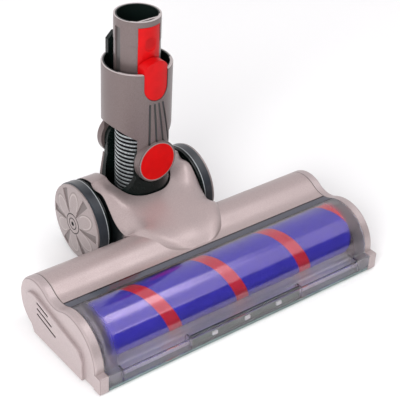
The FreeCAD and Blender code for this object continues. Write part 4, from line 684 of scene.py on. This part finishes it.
def lamp_lens():
    """Frosted acrylic lens, moulded: milky white that holds the light."""
    material, tree, place = new_finish("acrylic_lens_frosted")
    frost = mottle(tree, place, 0.8)
    close(tree, {
        "Base Color": between(tree, frost, "#eceef0", "#fbfbfb"),
        "Roughness": 0.3,
        "IOR": 1.49,
        "Subsurface Weight": 0.3,
        "Subsurface Radius": (0.002, 0.002, 0.002),
        "Normal": relief(tree, frost, depth_mm=0.02, strength=0.4, edge_mm=0.2),
    })
    return material


FINISHES = {
    "taupe_plastic": mica_abs("mica_filled_abs_satin_moulded", "#a39392", "#b0a09f"),
    "hubcap_plastic": mica_abs("mica_filled_abs_hubcap_moulded", "#918584", "#9d9190", wheel_face,
                               rough=(0.4, 0.47)),
    "black_plastic": gloss_black_abs("black_abs_polished_mould"),
    "bush_plastic": filled_nylon("acetal_bush_turned", "#c9c8c1", "#d8d7d0"),
    "core_plastic": filled_nylon("glass_filled_nylon_moulded", "#1d1e20", "#2a2b2d"),
    "smoke_clear": smoked_polycarbonate(),
    "lip_rubber": clear_tpe_lip(),
    "lamp_lens": lamp_lens(),
    "board_laminate": board_laminate(),
    "violet_pile": woven_pile("nylon_pile_violet_woven", "#3832c2", "#4840de"),
    "red_pile": woven_pile("nylon_pile_red_woven", "#e6203c", "#fa3450"),
    "sole_pile": woven_pile("nylon_pile_grey_woven", "#2b2c30", "#44464b"),
    "steel": bare_metal("zinc_plated_steel_turned", "#a3a5a8", "#bfc1c4", size_mm=0.3, rough=(0.25, 0.4)),
    "belt_rubber": soft_rubber("neoprene_belt_moulded", "#1b1c1d", "#262728", 0.6),
    "tyre_rubber": soft_rubber("tpu_tyre_moulded_satin", "#181d25", "#212830", 0.42, tyre_edge),
    "hose_rubber": tpe_hose(),
    "red_plastic": signal_red_abs("red_abs_moulded_satin", "#d00002", "#da0204"),
    "contact_brass": bare_metal("brass_rolled_strip", "#c8a04a", "#dcb866", size_mm=0.4, rough=(0.25, 0.38)),
}

# Pieces whose finish is their slot's with marks of their own.
NECK_FINISH = mica_abs("mica_filled_abs_neck_moulded", "#655857", "#716463", neck_shades)
CAP_FINISH = mica_abs("mica_filled_abs_cap_moulded", "#a69898", "#b2a4a4", cap_lines)
OWN_FINISHES = {
    "upper_housing": mica_abs("mica_filled_abs_housing_moulded", "#a39392", "#b0a09f", wheel_wells),
    # The chassis carries a painted haze at the chamber's ends.
    "lower_chassis": gloss_black_abs("black_abs_chassis_moulded", painted_haze_on_chamber_ends),
    "left_end_cap": CAP_FINISH,
    "right_end_cap": CAP_FINISH,
    "collar": NECK_FINISH,
    "spigot": NECK_FINISH,
    "yoke_rear_cover": NECK_FINISH,
    "rear_pivot_cap": NECK_FINISH,
    "front_pivot_cap": signal_red_abs("red_abs_cap_moulded_satin", "#c00001", "#cc0102", cap_ring),
    "release_button": signal_red_abs("red_abs_button_moulded_satin", "#ba080c", "#c60c10", button_hollow),
}


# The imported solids.


def dress_cad_nodes():
    """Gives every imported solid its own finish, or that of its slot."""
    for node, piece in frame["nodes"].items():
        piece.data.materials.clear()
        piece.data.materials.append(OWN_FINISHES.get(node, FINISHES[SLOTS[node]]))


def soften_shoulders():
    """The housing's shoulders beside the neck, drawn down to the photograph's rounder dome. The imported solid
    keeps its shape; only what is seen of it follows."""
    tree = bpy.data.node_groups.new("soft_shoulders", "GeometryNodeTree")
    for way in ("INPUT", "OUTPUT"):
        tree.interface.new_socket("Geometry", in_out=way, socket_type="NodeSocketGeometry")
    source = add(tree, "NodeGroupInput").outputs[0]
    x, y, z = coordinates(tree, add(tree, "GeometryNodeInputPosition").outputs["Position"])
    ahead = maths(tree, "MAXIMUM", maths(tree, "SUBTRACT", NOSE_Y, y), 0.0)
    ahead = maths(tree, "DIVIDE", ahead, NOSE_LONG)
    wide = maths(tree, "SQRT", maths(tree, "SUBTRACT", 1.0, maths(tree, "MULTIPLY", ahead, ahead)))
    aside = maths(tree, "DIVIDE", maths(tree, "ABSOLUTE", x), maths(tree, "MULTIPLY", wide, FAIRING_HALF))
    behind = maths(tree, "SUBTRACT", y, HUMP_Y)
    hump = maths(tree, "SUBTRACT", HUMP_R ** 2, maths(tree, "MULTIPLY", behind, behind))
    hump = maths(tree, "SQRT", maths(tree, "MAXIMUM", hump, 0.0))
    over_hump = maths(tree, "SUBTRACT", z, maths(tree, "ADD", hump, HUMP_Z))
    share = all_of(
        tree, maths(tree, "POWER", maths(tree, "MINIMUM", aside, 1.0), SHOULDER_CURVE),
        step_up(tree, aside, *SHOULDER_SIDE), step_up(tree, y, *SHOULDER_FRONT_Y),
        step_up(tree, y, *SHOULDER_REAR_Y), step_up(tree, over_hump, *SHOULDER_OVER_HUMP),
        step_up(tree, z, *SHOULDER_Z))
    drop = maths(tree, "MULTIPLY", share, -SHOULDER_DROP * MM)
    shift = add(tree, "ShaderNodeCombineXYZ", inputs={"Z": drop}).outputs["Vector"]
    moved = add(tree, "GeometryNodeSetPosition", inputs={"Geometry": source, "Offset": shift})
    add(tree, "NodeGroupOutput", inputs={0: moved.outputs["Geometry"]})
    softener = frame["nodes"]["upper_housing"].modifiers.new("soft_shoulders", "NODES")
    softener.node_group = tree


# The pieces made here in place of plain solids.


def placed(name, data):
    """An object of this name in the scene, with a mesh, a light or a lens."""
    thing = bpy.data.objects.new(name, data)
    bpy.context.collection.objects.link(thing)
    return thing


def mesh_from(shape, name):
    """The mesh of a finished shape."""
    mesh = bpy.data.meshes.new(name)
    shape.to_mesh(mesh)
    shape.free()
    return mesh


def piece_of(name, mesh, slot, body=None, smooth=True):
    """A piece from a finished mesh, in the finish of its slot, riding on its body."""
    for face in mesh.polygons:
        face.use_smooth = smooth
    piece = placed(name, mesh)
    mesh.materials.append(FINISHES[slot])
    if body:
        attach(piece, body)
    return piece


def leaf_spring():
    """The button's leaf spring, between the spigot and the pad's back."""
    low, high = (Vector(corner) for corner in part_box("button_spring"))
    outline = [
        (high.y - LEAF_WALL, low.z), (high.y - LEAF_WALL, low.z + LEAF_FLAT),
        (low.y, high.z - LEAF_FLAT), (low.y, high.z),
        (low.y + LEAF_WALL, high.z), (low.y + LEAF_WALL, high.z - LEAF_FLAT + LEAF_WALL / 2),
        (high.y, low.z + LEAF_FLAT + LEAF_WALL / 2), (high.y, low.z)]
    shape = bmesh.new()
    sides = [[shape.verts.new((x, y, z)) for y, z in outline] for x in (low.x, high.x)]
    for side in sides:
        shape.faces.new(side)
    for i in range(len(outline)):
        j = (i + 1) % len(outline)
        shape.faces.new((sides[0][i], sides[0][j], sides[1][j], sides[1][i]))
    bmesh.ops.recalc_face_normals(shape, faces=shape.faces)
    leaf = piece_of("leaf_spring", mesh_from(shape, "leaf_spring"), "steel", smooth=False)
    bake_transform(leaf)
    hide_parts("button_spring")


def turned(name, profile, steps):
    """A mesh turned from a closed profile of (radius, height) round the upright axis of the neck."""
    shape = bmesh.new()
    rings = []
    for k in range(steps):
        angle = TURN * k / steps
        rings.append([
            shape.verts.new((r * math.cos(angle), NECK_Y + r * math.sin(angle), z)) for r, z in profile])
    for k in range(steps):
        here, there = rings[k], rings[(k + 1) % steps]
        for i in range(len(profile)):
            j = (i + 1) % len(profile)
            shape.faces.new((here[i], there[i], there[j], here[j]))
    bmesh.ops.recalc_face_normals(shape, faces=shape.faces)
    return mesh_from(shape, name)


def hose_profile():
    """Round ribs on a thin wall: the outside going up, the bore coming back."""
    pitch = (HOSE_HIGH - HOSE_LOW) / HOSE_RIBS
    points = []
    for rib in range(HOSE_RIBS):
        low = HOSE_LOW + rib * pitch
        points.append((HOSE_ROOT_R, low))
        for k in range(RIB_POINTS + 1):
            angle = math.pi * k / RIB_POINTS
            lift = (HOSE_CREST_R - HOSE_ROOT_R) * math.sin(angle) ** RIB_FULLNESS
            points.append((HOSE_ROOT_R + lift, low + pitch * (0.5 - RIB_HALF_FOOT * math.cos(angle))))
    points.append((HOSE_ROOT_R, HOSE_HIGH))
    points.append((HOSE_BORE_R, HOSE_HIGH))
    for k in range(HOSE_RIBS * 2, -1, -1):
        points.append((HOSE_BORE_R, HOSE_LOW + k * pitch / 2))
    return points


def ribbed_hose():
    """The hose from the yoke up into the neck. Each point keeps its height on its rib, for the painted
    highlight on the crests."""
    mesh = turned("ribbed_hose", hose_profile(), HOSE_STEPS)
    crest = mesh.attributes.new("crest", "FLOAT", "POINT")
    for k, vertex in enumerate(mesh.vertices):
        radius = math.hypot(vertex.co.x, vertex.co.y - NECK_Y)
        crest.data[k].value = max(0.0, (radius - HOSE_ROOT_R) / (HOSE_CREST_R - HOSE_ROOT_R))
    hose = piece_of("ribbed_hose", mesh, "hose_rubber")
    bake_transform(hose)
    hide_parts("hose")


def nap(x, angle):
    """How far the pile stands proud or lies low at a place on the roller."""
    height = 0.0
    for along, around, share in NAP_GRAINS:
        height += share * noise.noise(Vector((x / along, math.cos(angle) * around, math.sin(angle) * around)))
    return NAP_DEPTH * height - NAP_SINK


def pile_band(name, slot, first, width, node):
    """The windings of one colour of the roller's pile: a skin laid along the helix, rounded over at the ends
    of the sleeve, with a wall down to its foot round every edge."""
    cells = max(2, round(width / PILE_CELL))
    step = width / cells
    shape = bmesh.new()
    grid = {}

    def along_roller(winding, i, j):
        """How far right a place on the winding's grid lies."""
        return first + winding * STRIPE_PITCH + i * step + STRIPE_PITCH * j / PILE_ROWS

    def corner(winding, i, j):
        """The vertex at a corner of the winding's grid, made where it isn't there yet."""
        if j == PILE_ROWS:
            winding, j = winding + 1, 0
        if (winding, i, j) not in grid:
            angle = TURN * j / PILE_ROWS
            x = min(max(along_roller(winding, i, j), PILE_LEFT), PILE_RIGHT)
            to_end = min(x - PILE_LEFT, PILE_RIGHT - x)
            round_off = 1 - min(1.0, to_end / PILE_END_ROUND)
            radius = PILE_R - PILE_END_ROUND * (1 - math.sqrt(1 - round_off ** 2))
            radius += nap(x, angle)
            grid[winding, i, j] = shape.verts.new(
                (x, ROLLER_Y - radius * math.sin(angle), ROLLER_Z + radius * math.cos(angle)))
        return grid[winding, i, j]

    margin = PAST_END_SHARE * step
    for winding in WINDINGS:
        for j in range(PILE_ROWS):
            for i in range(cells):
                if PILE_LEFT - margin < along_roller(winding, i + 0.5, j + 0.5) < PILE_RIGHT + margin:
                    face = (corner(winding, i, j), corner(winding, i, j + 1),
                            corner(winding, i + 1, j + 1), corner(winding, i + 1, j))
                    if len(set(face)) == 4:
                        shape.faces.new(face)
    bmesh.ops.remove_doubles(shape, verts=shape.verts, dist=PILE_WELD)
    rim = [edge for edge in shape.edges if edge.is_boundary]
    wall = bmesh.ops.extrude_edge_only(shape, edges=rim)["geom"]
    for vertex in (part for part in wall if isinstance(part, bmesh.types.BMVert)):
        away = Vector((0, vertex.co.y - ROLLER_Y, vertex.co.z - ROLLER_Z)).normalized() * PILE_FOOT_R
        vertex.co = Vector((vertex.co.x, ROLLER_Y, ROLLER_Z)) + away
    bmesh.ops.recalc_face_normals(shape, faces=shape.faces)
    band = piece_of(name, mesh_from(shape, name), slot, "brush_roller")
    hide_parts(node)


# The camera, the floor and the lights.


def camera():
    """The photograph's own viewpoint: over the left front corner, a step away, tipped a little."""
    turn, tip, roll = (math.radians(angle) for angle in (CAMERA_TURN, CAMERA_TIP, CAMERA_ROLL))
    ahead = Vector((math.sin(turn) * math.cos(tip), math.cos(turn) * math.cos(tip), -math.sin(tip)))
    right = Vector((math.cos(turn), -math.sin(turn), 0))
    up = right.cross(ahead)
    right, up = math.cos(roll) * right + math.sin(roll) * up, math.cos(roll) * up - math.sin(roll) * right
    lens = bpy.data.cameras.new("view")
    lens.lens = CAMERA_LENS
    lens.sensor_width = CAMERA_SENSOR
    lens.clip_start = CAMERA_NEAR
    seen = placed("view", lens)
    aim = Matrix((right, up, -ahead)).transposed().to_4x4()
    seen.matrix_world = Matrix.Translation(CAMERA_PLACE) @ aim
    bpy.context.scene.camera = seen


def floor():
    """A plain pale floor of matt painted board, wide enough to fill the view."""
    shape = bmesh.new()
    bmesh.ops.create_grid(shape, x_segments=8, y_segments=8, size=FLOOR_HALF)
    mesh = mesh_from(shape, "floor")
    material, tree, place = new_finish("painted_board_white_matt")
    close(tree, {
        "Base Color": between(tree, mottle(tree, place, 400.0), "#f4f4f4", "#f7f7f7"),
        "Roughness": 0.9,
        "Specular IOR Level": 0.1,
        "Normal": relief(tree, mottle(tree, place, 3.0), depth_mm=0.02, strength=0.2),
    })
    ground = placed("floor", mesh)
    mesh.materials.append(material)


def studio():
    """A white room behind and above, dark towards the front, with long soft screens overhead: they draw the
    streaks along the clear cover, and the dark front makes the deep band under them."""
    world = bpy.data.worlds.new("studio")
    world.use_nodes = True
    tree = world.node_tree
    way = add(tree, "ShaderNodeTexCoord").outputs["Generated"]
    lean = add(tree, "ShaderNodeVectorMath", {"operation": "DOT_PRODUCT"}, {0: way, 1: ROOM_SIDE})
    level = ramp_of(tree, lean.outputs["Value"], ROOM_EDGE, (ROOM_DARK, ROOM_LIGHT))
    x, y, z = parts_of(tree, way)
    tip = maths(tree, "DEGREES", maths(tree, "ARCTAN2", maths(tree, "MULTIPLY", y, -1.0), z))
    for first, last, soft_first, soft_last, left, right, soft_side, bright in SCREENS:
        rise = step_up(tree, tip, first - soft_first, first + soft_first)
        fall = step_up(tree, tip, last + soft_last, last - soft_last)
        here = all_of(tree, rise, fall, within(tree, x, left, right, soft_side))
        level = maths(tree, "MULTIPLY_ADD", here, bright, level)
    sky = tree.nodes["Background"]
    sky.inputs["Color"].default_value = rgb("#fbf9fb")
    tree.links.new(level, sky.inputs["Strength"])
    bpy.context.scene.world = world
    bpy.context.scene.view_settings.view_transform = "Standard"


def left_box():
    """A square soft light at the left front. It brightens the near end without a highlight of its own."""
    light = bpy.data.lights.new("left_box", "AREA")
    light.shape = "SQUARE"
    light.size = BOX_SIZE
    light.energy = BOX_POWER
    box = placed("left_box", light)
    box.location = BOX_PLACE
    box.rotation_euler = (Vector(BOX_AIM) - Vector(BOX_PLACE)).to_track_quat("-Z", "Y").to_euler()
    box.visible_glossy = False


camera()
floor()
studio()
left_box()
dress_cad_nodes()
soften_shoulders()
leaf_spring()
ribbed_hose()
pile_band("pile_sleeve", "violet_pile", STRIPE_START + STRIPE_WIDTH, STRIPE_PITCH - STRIPE_WIDTH,
          "roller_plush")
pile_band("pile_stripe", "red_pile", STRIPE_START, STRIPE_WIDTH, "roller_stripe")
